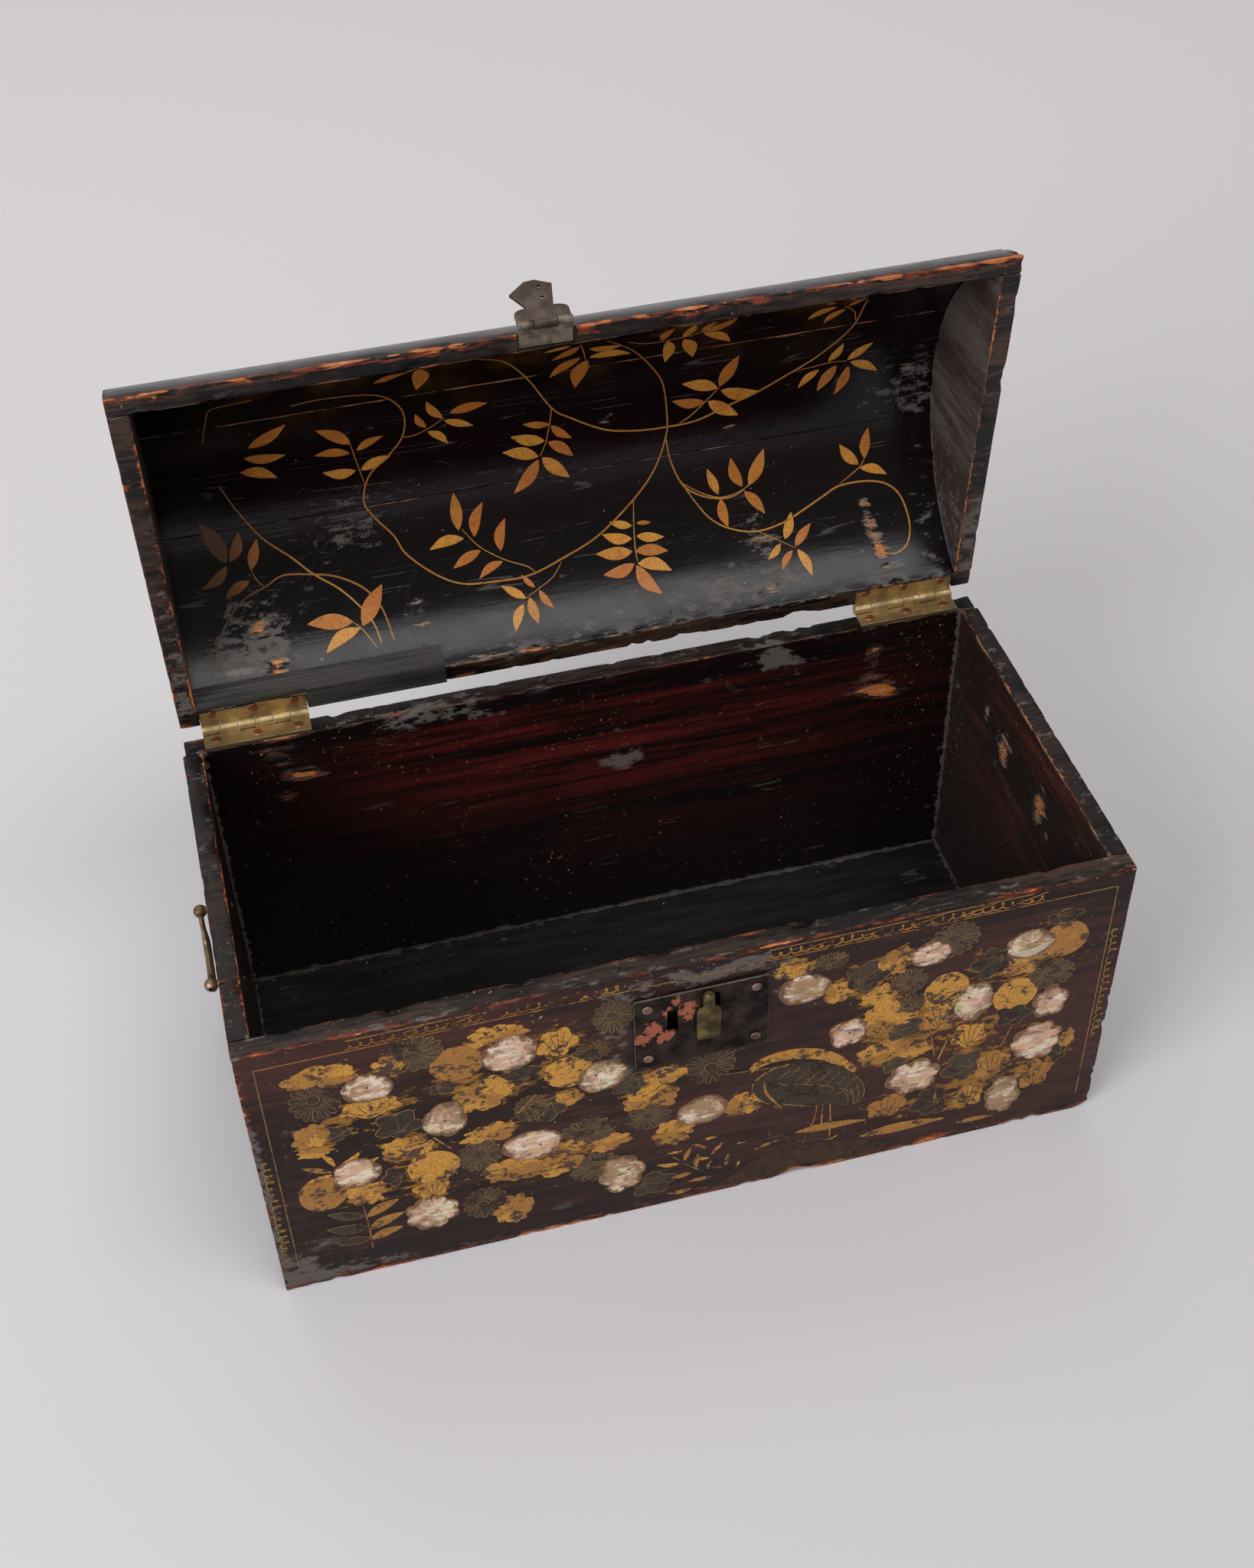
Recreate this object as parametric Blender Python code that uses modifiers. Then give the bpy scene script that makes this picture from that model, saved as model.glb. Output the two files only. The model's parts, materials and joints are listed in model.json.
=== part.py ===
"""Lacquer coffer with a barrel lid, modelled with the lid open.

Metres, +Z up. X runs along the width, the front faces -Y, and the origin is the centre of the underside.
"""
import math

import bmesh
import bpy
from mathutils import Matrix, Vector

# Clearance between pieces that touch
GAP = 0.0003

# Carcase
BODY_WIDTH = 0.450
BODY_DEPTH = 0.2245
BODY_HEIGHT = 0.1915
FRONT_THICKNESS = 0.0115
BACK_THICKNESS = 0.0112
END_THICKNESS = 0.0105
FLOOR_THICKNESS = 0.0060
BACK_END_INSET = 0.0015
EDGE_WEAR = 0.0010
CORNER_WEAR = 0.0045
CHIP_PLACE = 0.054
CHIP_WIDTH = 0.026
CHIP_HEIGHT = 0.0042

# Lid, a vault of three staves over two end boards
LID_SIDE_INSET = 0.0015
LID_BACK_INSET = 0.0030
LID_FRONT_INSET = 0.0020
LID_RISE = 0.0761
LID_WALL = 0.0097
LID_END_THICKNESS = 0.0100
LID_HINGE_GAP = 0.0030
FRONT_SEAM_ANGLE = math.radians(111)
BACK_SEAM_ANGLE = math.radians(73)
OPEN_ANGLE = math.radians(85)

# Bare wood strip that mends the lid's back rim
STRIP_LENGTH = 0.134
STRIP_HEIGHT = 0.0125
STRIP_THICKNESS = 0.0042
STRIP_LIP = 0.0018

# Butt hinges
HINGE_LENGTH = 0.057
HINGE_SIDE_GAP = 0.0010
HINGE_BARREL_RADIUS = 0.0030
HINGE_LEAF_THICKNESS = 0.0018
HINGE_PIN_RADIUS = 0.0012
HINGE_AXIS_OVERHANG = 0.0015
BODY_LEAF_WIDTH = 0.0125
LID_LEAF_WIDTH = 0.0132
BODY_SCREW_REACH = 0.0075
LID_SCREW_REACH = 0.0101
HINGE_SCREW_SPACING = 0.022
KNUCKLES = 6
KNUCKLE_GAP = 0.0004

# Slotted screws of the hinges and the lock plate
SCREW_HEAD_RADIUS = 0.0027
SCREW_HEAD_HEIGHT = 0.0006
SCREW_SHANK_RADIUS = 0.0010
SCREW_SHANK_LENGTH = 0.0060
SCREW_SLOT_WIDTH = 0.0006
SCREW_SLOT_DEPTH = 0.0003

# Lock
PLATE_WIDTH = 0.0690
PLATE_HEIGHT = 0.0510
PLATE_THICKNESS = 0.0016
PLATE_TOP_DROP = 0.0185
PLATE_SCREW_INSET = 0.0068
KEYHOLE_PLACE = -0.0150
KEYHOLE_WIDTH = 0.0054
KEYHOLE_HEIGHT = 0.0165
KEYHOLE_DROP = 0.0190
STAPLE_SLOT_PLACE = 0.0070
STAPLE_SLOT_WIDTH = 0.0040
STAPLE_SLOT_HEIGHT = 0.0150
STAPLE_SLOT_DROP = 0.0122
CASE_WIDTH = 0.0470
CASE_HEIGHT = 0.0400
CASE_DEPTH = 0.0080
CASE_WALL = 0.0010
CASE_TOP_DROP = 0.0015
BOLT_LENGTH = 0.0230
BOLT_HEIGHT = 0.0036
BOLT_THICKNESS = 0.0030
BOLT_END_PLACE = 0.0030
SPRING_LENGTH = 0.0200
SPRING_BOW = 0.0016
SPRING_THICKNESS = 0.0006
SPRING_WIDTH = 0.0024

# Keyhole cover, a brass drop on a rivet
COVER_PIVOT_PLACE = 0.0030
COVER_PIVOT_DROP = 0.0045
COVER_LENGTH = 0.0345
COVER_NECK_LENGTH = 0.0110
COVER_NECK_WIDTH = 0.0058
COVER_WIDTH = 0.0122
COVER_THICKNESS = 0.0016
RIVET_HEAD_RADIUS = 0.0022
RIVET_HEAD_HEIGHT = 0.0009
RIVET_SHANK_RADIUS = 0.0010

# Handles, the same on both ends
POST_SPACING = 0.0520
POST_HEIGHT = 0.1500
POST_BALL_RADIUS = 0.0036
POST_STANDOFF = 0.0056
POST_NECK_RADIUS = 0.0020
POST_FLANGE_RADIUS = 0.0052
POST_FLANGE_THICKNESS = 0.0012
POST_SHANK_RADIUS = 0.0016
POST_TIP = 0.0016
BAIL_DROP = 0.0150
BAIL_BEND = 0.0045
BAIL_PIN_RADIUS = 0.0014
BAIL_GRIP_RADIUS = 0.0021

# Hasp on the lid's front rim
HASP_PLACE = -0.0170
HASP_WIDTH = 0.0265
HASP_BARREL_RADIUS = 0.0020
HASP_PIN_RADIUS = 0.0008
HASP_LEAF_THICKNESS = 0.0012
HASP_LEAF_REACH = 0.0085
HASP_LEAF_LIFT = 0.0006
HASP_AXIS_LIFT = 0.0006
HASP_NOTCH_REACH = 0.0034
HASP_NAIL_SPACING = 0.0180
HASP_NAIL_REACH = 0.0058
HASP_NAIL_RADIUS = 0.0007
HASP_NAIL_HEAD_RADIUS = 0.0015
HASP_NAIL_HEAD_HEIGHT = 0.0003
HASP_NAIL_LENGTH = 0.0055
TONGUE_THICKNESS = 0.0014
TONGUE_KNUCKLE_WIDTH = 0.0112
TONGUE_LENGTH = 0.0285
TONGUE_BASE_START = 0.0030
TONGUE_SHOULDER = 0.0080
TONGUE_NECK = 0.0112
TONGUE_NECK_WIDTH = 0.0130
TONGUE_TIP = 0.0210
TONGUE_TIP_REACH = 0.0128
TONGUE_HEAD_REACH = 0.0088
TONGUE_HOLE_RADIUS = 0.0009
TONGUE_HOLES = ((0.0022, 0.0238), (0.0023, 0.0168))
TONGUE_FLIP = math.radians(170)

# Facets of round shapes
ROUND_STEPS = 16
SMALL_STEPS = 12
HOLE_STEPS = 10
VAULT_STEP = math.radians(4)

# Places worked out from the sizes above
FRONT_FACE = -BODY_DEPTH / 2
BACK_FACE = BODY_DEPTH / 2
LID_WIDTH = BODY_WIDTH - 2 * LID_SIDE_INSET
LID_DEPTH = BODY_DEPTH - LID_BACK_INSET - LID_FRONT_INSET
LID_RADIUS = (LID_RISE ** 2 + (LID_DEPTH / 2) ** 2) / (2 * LID_RISE)
LID_INNER_RADIUS = LID_RADIUS - LID_WALL
HINGE_Y = BACK_FACE + HINGE_AXIS_OVERHANG
HINGE_Z = BODY_HEIGHT + GAP + HINGE_BARREL_RADIUS
HINGE_X = LID_WIDTH / 2 - LID_END_THICKNESS - HINGE_SIDE_GAP - HINGE_LENGTH / 2
# The lid is drawn closed, in coordinates that start from the hinge axis
RIM_Z = BODY_HEIGHT + LID_HINGE_GAP - HINGE_Z
LID_BACK_Y = BACK_FACE - LID_BACK_INSET - HINGE_Y
LID_FRONT_Y = LID_BACK_Y - LID_DEPTH
VAULT_Y = LID_BACK_Y - LID_DEPTH / 2
VAULT_Z = RIM_Z + LID_RISE - LID_RADIUS
PLATE_TOP = BODY_HEIGHT - PLATE_TOP_DROP
PLATE_BACK_Y = FRONT_FACE - GAP
PLATE_FRONT_Y = PLATE_BACK_Y - PLATE_THICKNESS
CASE_TOP = PLATE_TOP - CASE_TOP_DROP
KEYHOLE_Z = PLATE_TOP - KEYHOLE_DROP
HASP_Y = FRONT_FACE - GAP - HASP_BARREL_RADIUS - HINGE_Y
HASP_Z = RIM_Z + HASP_AXIS_LIFT

# Turns that lay a flat outline on its side: (across, up) becomes (Y, Z) or (X, Z)
OUTLINE_IN_YZ = (math.pi / 2, 0, math.pi / 2)
OUTLINE_IN_XZ = (math.pi / 2, 0, 0)


def clear_scene():
    for old in list(bpy.data.objects):
        bpy.data.objects.remove(old, do_unlink=True)


def new_collection(name):
    group = bpy.data.collections.new(name)
    bpy.context.scene.collection.children.link(group)
    return group


def finish(name, colour, roughness, metallic):
    made = bpy.data.materials.new(name)
    made.use_nodes = True
    shader = made.node_tree.nodes["Principled BSDF"]
    shader.inputs["Base Color"].default_value = (*colour, 1)
    shader.inputs["Roughness"].default_value = roughness
    shader.inputs["Metallic"].default_value = metallic
    return made


clear_scene()
COFFER = new_collection("lacquer_coffer")
CUTTERS = new_collection("cutters")
BLACK_LACQUER = ("black_lacquer", (0.012, 0.009, 0.008), 0.28, 0.0)
INNER_LACQUER = ("dark_red_lacquer", (0.020, 0.008, 0.007), 0.38, 0.0)
BARE_WOOD = ("bare_wood", (0.050, 0.045, 0.040), 0.60, 0.0)
BRASS = ("brass", (0.36, 0.26, 0.11), 0.38, 1.0)
COPPER = ("copper_screw", (0.42, 0.20, 0.12), 0.42, 1.0)
IRON = ("iron", (0.060, 0.050, 0.046), 0.50, 1.0)
STEEL = ("spring_steel", (0.25, 0.25, 0.26), 0.40, 1.0)


def place(mesh, name, look, parent=None, location=(0, 0, 0), rotation=(0, 0, 0)):
    """A node: one object with its own material, set down under its parent."""
    made = bpy.data.objects.new(name, mesh)
    made.data.materials.clear()
    made.data.materials.append(finish(name + "_" + look[0], *look[1:]))
    made.parent = parent
    made.location = location
    made.rotation_euler = rotation
    COFFER.objects.link(made)
    return made


def axis_empty(name, location, rotation=(0, 0, 0), parent=None):
    made = bpy.data.objects.new(name, None)
    made.parent = parent
    made.location = location
    made.rotation_euler = rotation
    COFFER.objects.link(made)
    return made


def evaluated_mesh(source):
    """The mesh of a temporary object with its modifiers or bevel, which is then removed."""
    COFFER.objects.link(source)
    bpy.context.view_layer.update()
    graph = bpy.context.evaluated_depsgraph_get()
    mesh = bpy.data.meshes.new_from_object(source.evaluated_get(graph))
    bpy.data.objects.remove(source)
    work = bmesh.new()
    work.from_mesh(mesh)
    bmesh.ops.remove_doubles(work, verts=work.verts, dist=1e-6)
    bmesh.ops.recalc_face_normals(work, faces=work.faces)
    work.to_mesh(mesh)
    work.free()
    return mesh


def smooth(mesh, angle=math.radians(40)):
    mesh.shade_smooth()
    mesh.set_sharp_from_angle(angle=angle)
    return mesh


def outline_mesh(outlines, thickness):
    """A flat outline, with the later outlines as holes in it, thickened both ways from its plane."""
    curve = bpy.data.curves.new("outline", "CURVE")
    curve.dimensions = "2D"
    curve.fill_mode = "BOTH"
    curve.extrude = thickness / 2
    for outline in outlines:
        spline = curve.splines.new("POLY")
        spline.points.add(len(outline) - 1)
        for point, (across, up) in zip(spline.points, outline):
            point.co = (across, up, 0, 1)
        spline.use_cyclic_u = True
    return evaluated_mesh(bpy.data.objects.new("outline", curve))


def turned_mesh(profile, steps=SMALL_STEPS):
    """A solid turned about Z from (radius, height) points that run from its top to its bottom."""
    mesh = bpy.data.meshes.new("profile")
    points = [(radius, 0, height) for radius, height in profile]
    mesh.from_pydata(points, [(i, i + 1) for i in range(len(points) - 1)], [])
    source = bpy.data.objects.new("profile", mesh)
    turn = source.modifiers.new("turn", "SCREW")
    turn.steps = steps
    turn.render_steps = steps
    turn.use_merge_vertices = True
    turn.merge_threshold = 1e-5
    return smooth(evaluated_mesh(source))


def box_mesh(size):
    mesh = bpy.data.meshes.new("box")
    work = bmesh.new()
    bmesh.ops.create_cube(work, size=1)
    bmesh.ops.scale(work, vec=size, verts=work.verts)
    work.to_mesh(mesh)
    work.free()
    return mesh


def rod_mesh(start, end, radius, steps=HOLE_STEPS):
    start = Vector(start)
    run = Vector(end) - start
    mesh = bpy.data.meshes.new("rod")
    work = bmesh.new()
    turn = run.to_track_quat("Z", "Y").to_matrix().to_4x4()
    where = Matrix.Translation(start + run / 2) @ turn
    bmesh.ops.create_cone(
        work, cap_ends=True, segments=steps, radius1=radius, radius2=radius, depth=run.length, matrix=where)
    work.to_mesh(mesh)
    work.free()
    return mesh


def block_mesh(low, high):
    """A box given by two corners."""
    low = Vector(low)
    high = Vector(high)
    mesh = box_mesh(high - low)
    mesh.transform(Matrix.Translation((low + high) / 2))
    return mesh


def joined(meshes):
    """Several separate solids as one mesh."""
    mesh = bpy.data.meshes.new("joined")
    work = bmesh.new()
    for each in meshes:
        work.from_mesh(each)
    work.to_mesh(mesh)
    work.free()
    return mesh


def place_copies(mesh, name, look, seats, rotation, parent=None):
    """One object for each seat, numbered from 1."""
    for number, seat in enumerate(seats, 1):
        place(mesh.copy(), name + "_" + str(number), look, parent, seat, rotation)


def board(name, low, high, look, parent=None):
    """A board with its arrises worn round."""
    low = Vector(low)
    high = Vector(high)
    made = place(box_mesh(high - low), name, look, parent, (low + high) / 2)
    wear = made.modifiers.new("wear", "BEVEL")
    wear.width = EDGE_WEAR
    wear.segments = 2
    return made


def cut(target, meshes, operation="DIFFERENCE"):
    """Cuts solids, given in the coordinates of the target's parent, out of the target."""
    tool = bpy.data.objects.new(target.name + "_cut", joined(meshes))
    tool.parent = target.parent
    tool.hide_render = True
    tool.display_type = "WIRE"
    CUTTERS.objects.link(tool)
    change = target.modifiers.new("cut", "BOOLEAN")
    change.operation = operation
    change.solver = "EXACT"
    change.object = tool
    return target


def arc(centre, radius, start, end, steps):
    points = []
    for i in range(steps + 1):
        angle = start + (end - start) * i / steps
        points.append((centre[0] + radius * math.cos(angle), centre[1] + radius * math.sin(angle)))
    return points


def circle(centre, radius, steps=SMALL_STEPS):
    return arc(centre, radius, 0, 2 * math.pi, steps)[:-1]


def screw_mesh():
    """A slotted round-head screw along Z, with the seat of its head at zero."""
    top = GAP + SCREW_HEAD_HEIGHT
    profile = (
        (0, top),
        (0.60 * SCREW_HEAD_RADIUS, top - 0.1 * SCREW_HEAD_HEIGHT),
        (0.90 * SCREW_HEAD_RADIUS, top - 0.5 * SCREW_HEAD_HEIGHT),
        (SCREW_HEAD_RADIUS, GAP),
        (SCREW_SHANK_RADIUS, GAP),
        (SCREW_SHANK_RADIUS, -SCREW_SHANK_LENGTH + SCREW_SHANK_RADIUS),
        (0, -SCREW_SHANK_LENGTH),
    )
    source = bpy.data.objects.new("screw", turned_mesh(profile))
    slot = block_mesh(
        (-2 * SCREW_HEAD_RADIUS, -SCREW_SLOT_WIDTH / 2, top - SCREW_SLOT_DEPTH),
        (2 * SCREW_HEAD_RADIUS, SCREW_SLOT_WIDTH / 2, top + SCREW_HEAD_HEIGHT))
    tool = bpy.data.objects.new("slot", slot)
    CUTTERS.objects.link(tool)
    change = source.modifiers.new("slot", "BOOLEAN")
    change.object = tool
    mesh = evaluated_mesh(source)
    bpy.data.objects.remove(tool)
    return mesh


SCREW = screw_mesh()
SCREW_HOLE_RADIUS = SCREW_SHANK_RADIUS + GAP
SCREW_HOLE_DEPTH = SCREW_SHANK_LENGTH + GAP


def plate_screw_seats():
    reach_x = PLATE_WIDTH / 2 - PLATE_SCREW_INSET
    high = PLATE_TOP - PLATE_SCREW_INSET
    low = PLATE_TOP - PLATE_HEIGHT + PLATE_SCREW_INSET
    return [Vector((side * reach_x, PLATE_FRONT_Y, z)) for side in (-1, 1) for z in (high, low)]


def hinge_screw_seats(centre_x, reach, z):
    """Three seats along a hinge leaf, from coordinates that start at the hinge axis."""
    return [Vector((centre_x + i * HINGE_SCREW_SPACING, -reach, z)) for i in (-1, 0, 1)]


def post_seats(side):
    x = side * BODY_WIDTH / 2
    return [Vector((x, y, POST_HEIGHT)) for y in (-POST_SPACING / 2, POST_SPACING / 2)]


BODY_SEAT_Z = HINGE_LEAF_THICKNESS - HINGE_BARREL_RADIUS
LID_SEAT_Z = HINGE_BARREL_RADIUS - HINGE_LEAF_THICKNESS
HINGE_AXIS = Vector((0, HINGE_Y, HINGE_Z))
LID_AXIS = axis_empty("lid_axis", HINGE_AXIS, (-OPEN_ANGLE, 0, 0))


def make_front_board():
    front = board(
        "front_board", (-BODY_WIDTH / 2, FRONT_FACE, 0),
        (BODY_WIDTH / 2, FRONT_FACE + FRONT_THICKNESS, BODY_HEIGHT), BLACK_LACQUER)
    before = FRONT_FACE - FRONT_THICKNESS
    behind = FRONT_FACE + 2 * FRONT_THICKNESS
    mortise = block_mesh(
        (-CASE_WIDTH / 2 - GAP, before, CASE_TOP - CASE_HEIGHT - GAP),
        (CASE_WIDTH / 2 + GAP, FRONT_FACE + CASE_DEPTH + GAP, CASE_TOP + GAP))
    holes = [
        rod_mesh((seat.x, before, seat.z), (seat.x, seat.y + SCREW_HOLE_DEPTH, seat.z), SCREW_HOLE_RADIUS)
        for seat in plate_screw_seats()]
    chip_radius = ((CHIP_WIDTH / 2) ** 2 + CHIP_HEIGHT ** 2) / (2 * CHIP_HEIGHT)
    chip_z = CHIP_HEIGHT - chip_radius
    chip = rod_mesh((CHIP_PLACE, before, chip_z), (CHIP_PLACE, behind, chip_z), chip_radius, 4 * ROUND_STEPS)
    corner = rod_mesh((BODY_WIDTH / 2, before, 0), (BODY_WIDTH / 2, behind, 0), CORNER_WEAR, 4)
    cut(front, [mortise] + holes + [chip, corner])


def make_carcase():
    make_front_board()
    half = BODY_WIDTH / 2
    back = board(
        "back_board", (-half + BACK_END_INSET, BACK_FACE - BACK_THICKNESS, 0),
        (half - BACK_END_INSET, BACK_FACE, BODY_HEIGHT), INNER_LACQUER)
    holes = []
    for side in (-1, 1):
        for seat in hinge_screw_seats(side * HINGE_X, BODY_SCREW_REACH, BODY_SEAT_Z):
            top = seat + HINGE_AXIS
            holes.append(rod_mesh(
                top + Vector((0, 0, BACK_THICKNESS)), top - Vector((0, 0, SCREW_HOLE_DEPTH)), SCREW_HOLE_RADIUS))
    cut(back, holes)
    near = FRONT_FACE + FRONT_THICKNESS + GAP
    far = BACK_FACE - BACK_THICKNESS - GAP
    for name, side in (("left_end_board", -1), ("right_end_board", 1)):
        outer = side * half
        inner = side * (half - END_THICKNESS)
        end = board(
            name, (min(outer, inner), near, 0), (max(outer, inner), far, BODY_HEIGHT), INNER_LACQUER)
        reach = Vector((side * END_THICKNESS, 0, 0))
        cut(end, [rod_mesh(seat + reach, seat - 2 * reach, POST_SHANK_RADIUS + GAP) for seat in post_seats(side)])
    inside = half - END_THICKNESS - GAP
    board("bottom_board", (-inside, near, 0), (inside, far, FLOOR_THICKNESS), INNER_LACQUER)


def make_lock():
    plate = board(
        "lock_plate", (-PLATE_WIDTH / 2, PLATE_FRONT_Y, PLATE_TOP - PLATE_HEIGHT),
        (PLATE_WIDTH / 2, PLATE_BACK_Y, PLATE_TOP), IRON)
    plate.modifiers["wear"].width = PLATE_THICKNESS / 4
    plate.modifiers["wear"].segments = 1
    ahead = PLATE_FRONT_Y - PLATE_THICKNESS
    behind = FRONT_FACE
    keyhole = block_mesh(
        (KEYHOLE_PLACE - KEYHOLE_WIDTH / 2, ahead, KEYHOLE_Z - KEYHOLE_HEIGHT / 2),
        (KEYHOLE_PLACE + KEYHOLE_WIDTH / 2, behind, KEYHOLE_Z + KEYHOLE_HEIGHT / 2))
    slot_z = PLATE_TOP - STAPLE_SLOT_DROP
    slot = block_mesh(
        (STAPLE_SLOT_PLACE - STAPLE_SLOT_WIDTH / 2, ahead, slot_z - STAPLE_SLOT_HEIGHT / 2),
        (STAPLE_SLOT_PLACE + STAPLE_SLOT_WIDTH / 2, behind, slot_z + STAPLE_SLOT_HEIGHT / 2))
    pivot_z = PLATE_TOP - COVER_PIVOT_DROP
    holes = [rod_mesh(
        (COVER_PIVOT_PLACE, ahead, pivot_z), (COVER_PIVOT_PLACE, behind, pivot_z), RIVET_SHANK_RADIUS + GAP)]
    for seat in plate_screw_seats():
        holes.append(rod_mesh((seat.x, ahead, seat.z), (seat.x, behind, seat.z), SCREW_HOLE_RADIUS))
    cut(plate, [keyhole, slot] + holes)
    place_copies(SCREW, "lock_plate_screw", IRON, plate_screw_seats(), OUTLINE_IN_XZ)

    case_bottom = CASE_TOP - CASE_HEIGHT
    case_back = FRONT_FACE + CASE_DEPTH
    case = place(
        block_mesh((-CASE_WIDTH / 2, FRONT_FACE, case_bottom), (CASE_WIDTH / 2, case_back, CASE_TOP)),
        "lock_case", IRON)
    hollow = block_mesh(
        (-CASE_WIDTH / 2 + CASE_WALL, FRONT_FACE - CASE_DEPTH, case_bottom + CASE_WALL),
        (CASE_WIDTH / 2 - CASE_WALL, case_back - CASE_WALL, CASE_TOP - CASE_WALL))
    cut(case, [hollow])

    spring_top = CASE_TOP - CASE_WALL - GAP
    bolt_top = spring_top - SPRING_THICKNESS - SPRING_BOW - GAP
    bolt_back = case_back - CASE_WALL - GAP
    bolt_size = Vector((BOLT_LENGTH, BOLT_THICKNESS, BOLT_HEIGHT))
    bolt_end = Vector((BOLT_END_PLACE, bolt_back, bolt_top))
    place(box_mesh(bolt_size), "lock_bolt", IRON, None, bolt_end - bolt_size / 2)

    spring_radius = ((SPRING_LENGTH / 2) ** 2 + SPRING_BOW ** 2) / (2 * SPRING_BOW)
    spread = math.asin(SPRING_LENGTH / 2 / spring_radius)
    middle = (BOLT_END_PLACE - BOLT_LENGTH / 2, spring_top - spring_radius)
    upper = arc(middle, spring_radius, math.pi / 2 - spread, math.pi / 2 + spread, SMALL_STEPS)
    lower = arc(middle, spring_radius - SPRING_THICKNESS, math.pi / 2 + spread, math.pi / 2 - spread, SMALL_STEPS)
    place(
        outline_mesh([upper + lower], SPRING_WIDTH), "lock_spring", STEEL, None,
        (0, bolt_back - SPRING_WIDTH / 2, 0), OUTLINE_IN_XZ)


def make_keyhole_cover():
    pivot = (COVER_PIVOT_PLACE, PLATE_FRONT_Y - GAP - COVER_THICKNESS / 2, PLATE_TOP - COVER_PIVOT_DROP)
    neck = COVER_NECK_WIDTH / 2
    half = COVER_WIDTH / 2
    bottom = neck - COVER_LENGTH
    shoulder = neck - COVER_NECK_LENGTH
    outline = arc((0, 0), neck, 0, math.pi, SMALL_STEPS)
    outline += [(-neck, shoulder)]
    outline += arc((-neck, shoulder + neck - half), half - neck, math.pi / 2, math.pi, 4)
    outline += arc((-half + neck, bottom + neck), neck, math.pi, 1.5 * math.pi, 4)
    outline += arc((half - neck, bottom + neck), neck, 1.5 * math.pi, 2 * math.pi, 4)
    outline += arc((neck, shoulder + neck - half), half - neck, 0, math.pi / 2, 4)
    outline += [(neck, shoulder)]
    hole = circle((0, 0), RIVET_SHANK_RADIUS + GAP, HOLE_STEPS)
    place(
        outline_mesh([outline, hole], COVER_THICKNESS), "keyhole_cover", BRASS, None, pivot, OUTLINE_IN_XZ)
    seat = COVER_THICKNESS / 2 + GAP
    tail = -seat - PLATE_THICKNESS
    profile = (
        (0, seat + RIVET_HEAD_HEIGHT),
        (0.7 * RIVET_HEAD_RADIUS, seat + 0.7 * RIVET_HEAD_HEIGHT),
        (RIVET_HEAD_RADIUS, seat),
        (RIVET_SHANK_RADIUS, seat),
        (RIVET_SHANK_RADIUS, tail),
        (0, tail),
    )
    place(turned_mesh(profile), "keyhole_cover_rivet", BRASS, None, pivot, OUTLINE_IN_XZ)


def leaf_outline(width, up):
    """Section of a hinge leaf and its knuckle about the axis: up is -1 for the body leaf and 1 for the lid's."""
    radius = HINGE_BARREL_RADIUS
    rise = radius - HINGE_LEAF_THICKNESS
    meet = math.asin(rise / radius)
    points = [(-width, -radius)]
    points += arc((0, 0), radius, -math.pi / 2, math.pi + meet, ROUND_STEPS)
    points += [(-width, -rise)]
    return [(y, -up * z) for y, z in points]


def knuckle_cuts(kept):
    """Blocks that clear the barrel where the other leaf has its knuckles."""
    pitch = HINGE_LENGTH / KNUCKLES
    reach = 2 * HINGE_BARREL_RADIUS
    notch = HINGE_BARREL_RADIUS + KNUCKLE_GAP
    blocks = []
    for i in range(KNUCKLES):
        if i % 2 != kept:
            start = -HINGE_LENGTH / 2 + i * pitch
            first = start - reach if i == 0 else start - KNUCKLE_GAP / 2
            last = start + pitch + (reach if i == KNUCKLES - 1 else KNUCKLE_GAP / 2)
            blocks.append(block_mesh((first, -notch, -reach), (last, reach, reach)))
    return blocks


def make_hinge(side_name, side):
    centre = Vector((side * HINGE_X, 0, 0))
    bore = circle((0, 0), HINGE_PIN_RADIUS + GAP)
    leaves = (
        ("body", -1, 1, BODY_LEAF_WIDTH, BODY_SCREW_REACH, BODY_SEAT_Z, None, HINGE_AXIS),
        ("lid", 1, 0, LID_LEAF_WIDTH, LID_SCREW_REACH, LID_SEAT_Z, LID_AXIS, Vector()),
    )
    for leaf_name, up, kept, width, reach, seat_z, parent, origin in leaves:
        mesh = outline_mesh([leaf_outline(width, up), bore], HINGE_LENGTH)
        leaf = place(
            mesh, side_name + "_hinge_" + leaf_name + "_leaf", BRASS, parent, centre + origin, OUTLINE_IN_YZ)
        shift = Matrix.Translation(centre + origin)
        clearing = [block for block in knuckle_cuts(kept)]
        through = Vector((0, 0, HINGE_LEAF_THICKNESS))
        for seat in hinge_screw_seats(0, reach, seat_z):
            clearing.append(rod_mesh(seat - 2 * through, seat + 2 * through, SCREW_HOLE_RADIUS))
        for each in clearing:
            each.transform(shift)
        cut(leaf, clearing)
        seats = [seat + origin for seat in hinge_screw_seats(centre.x, reach, seat_z)]
        turn = (0, 0, 0) if up < 0 else (math.pi, 0, 0)
        place_copies(SCREW, side_name + "_hinge_" + leaf_name + "_screw", COPPER, seats, turn, parent)
    half = Vector((HINGE_LENGTH / 2, 0, 0))
    pin = rod_mesh(-half, half, HINGE_PIN_RADIUS)
    place(pin, side_name + "_hinge_pin", BRASS, None, centre + HINGE_AXIS)


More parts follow.
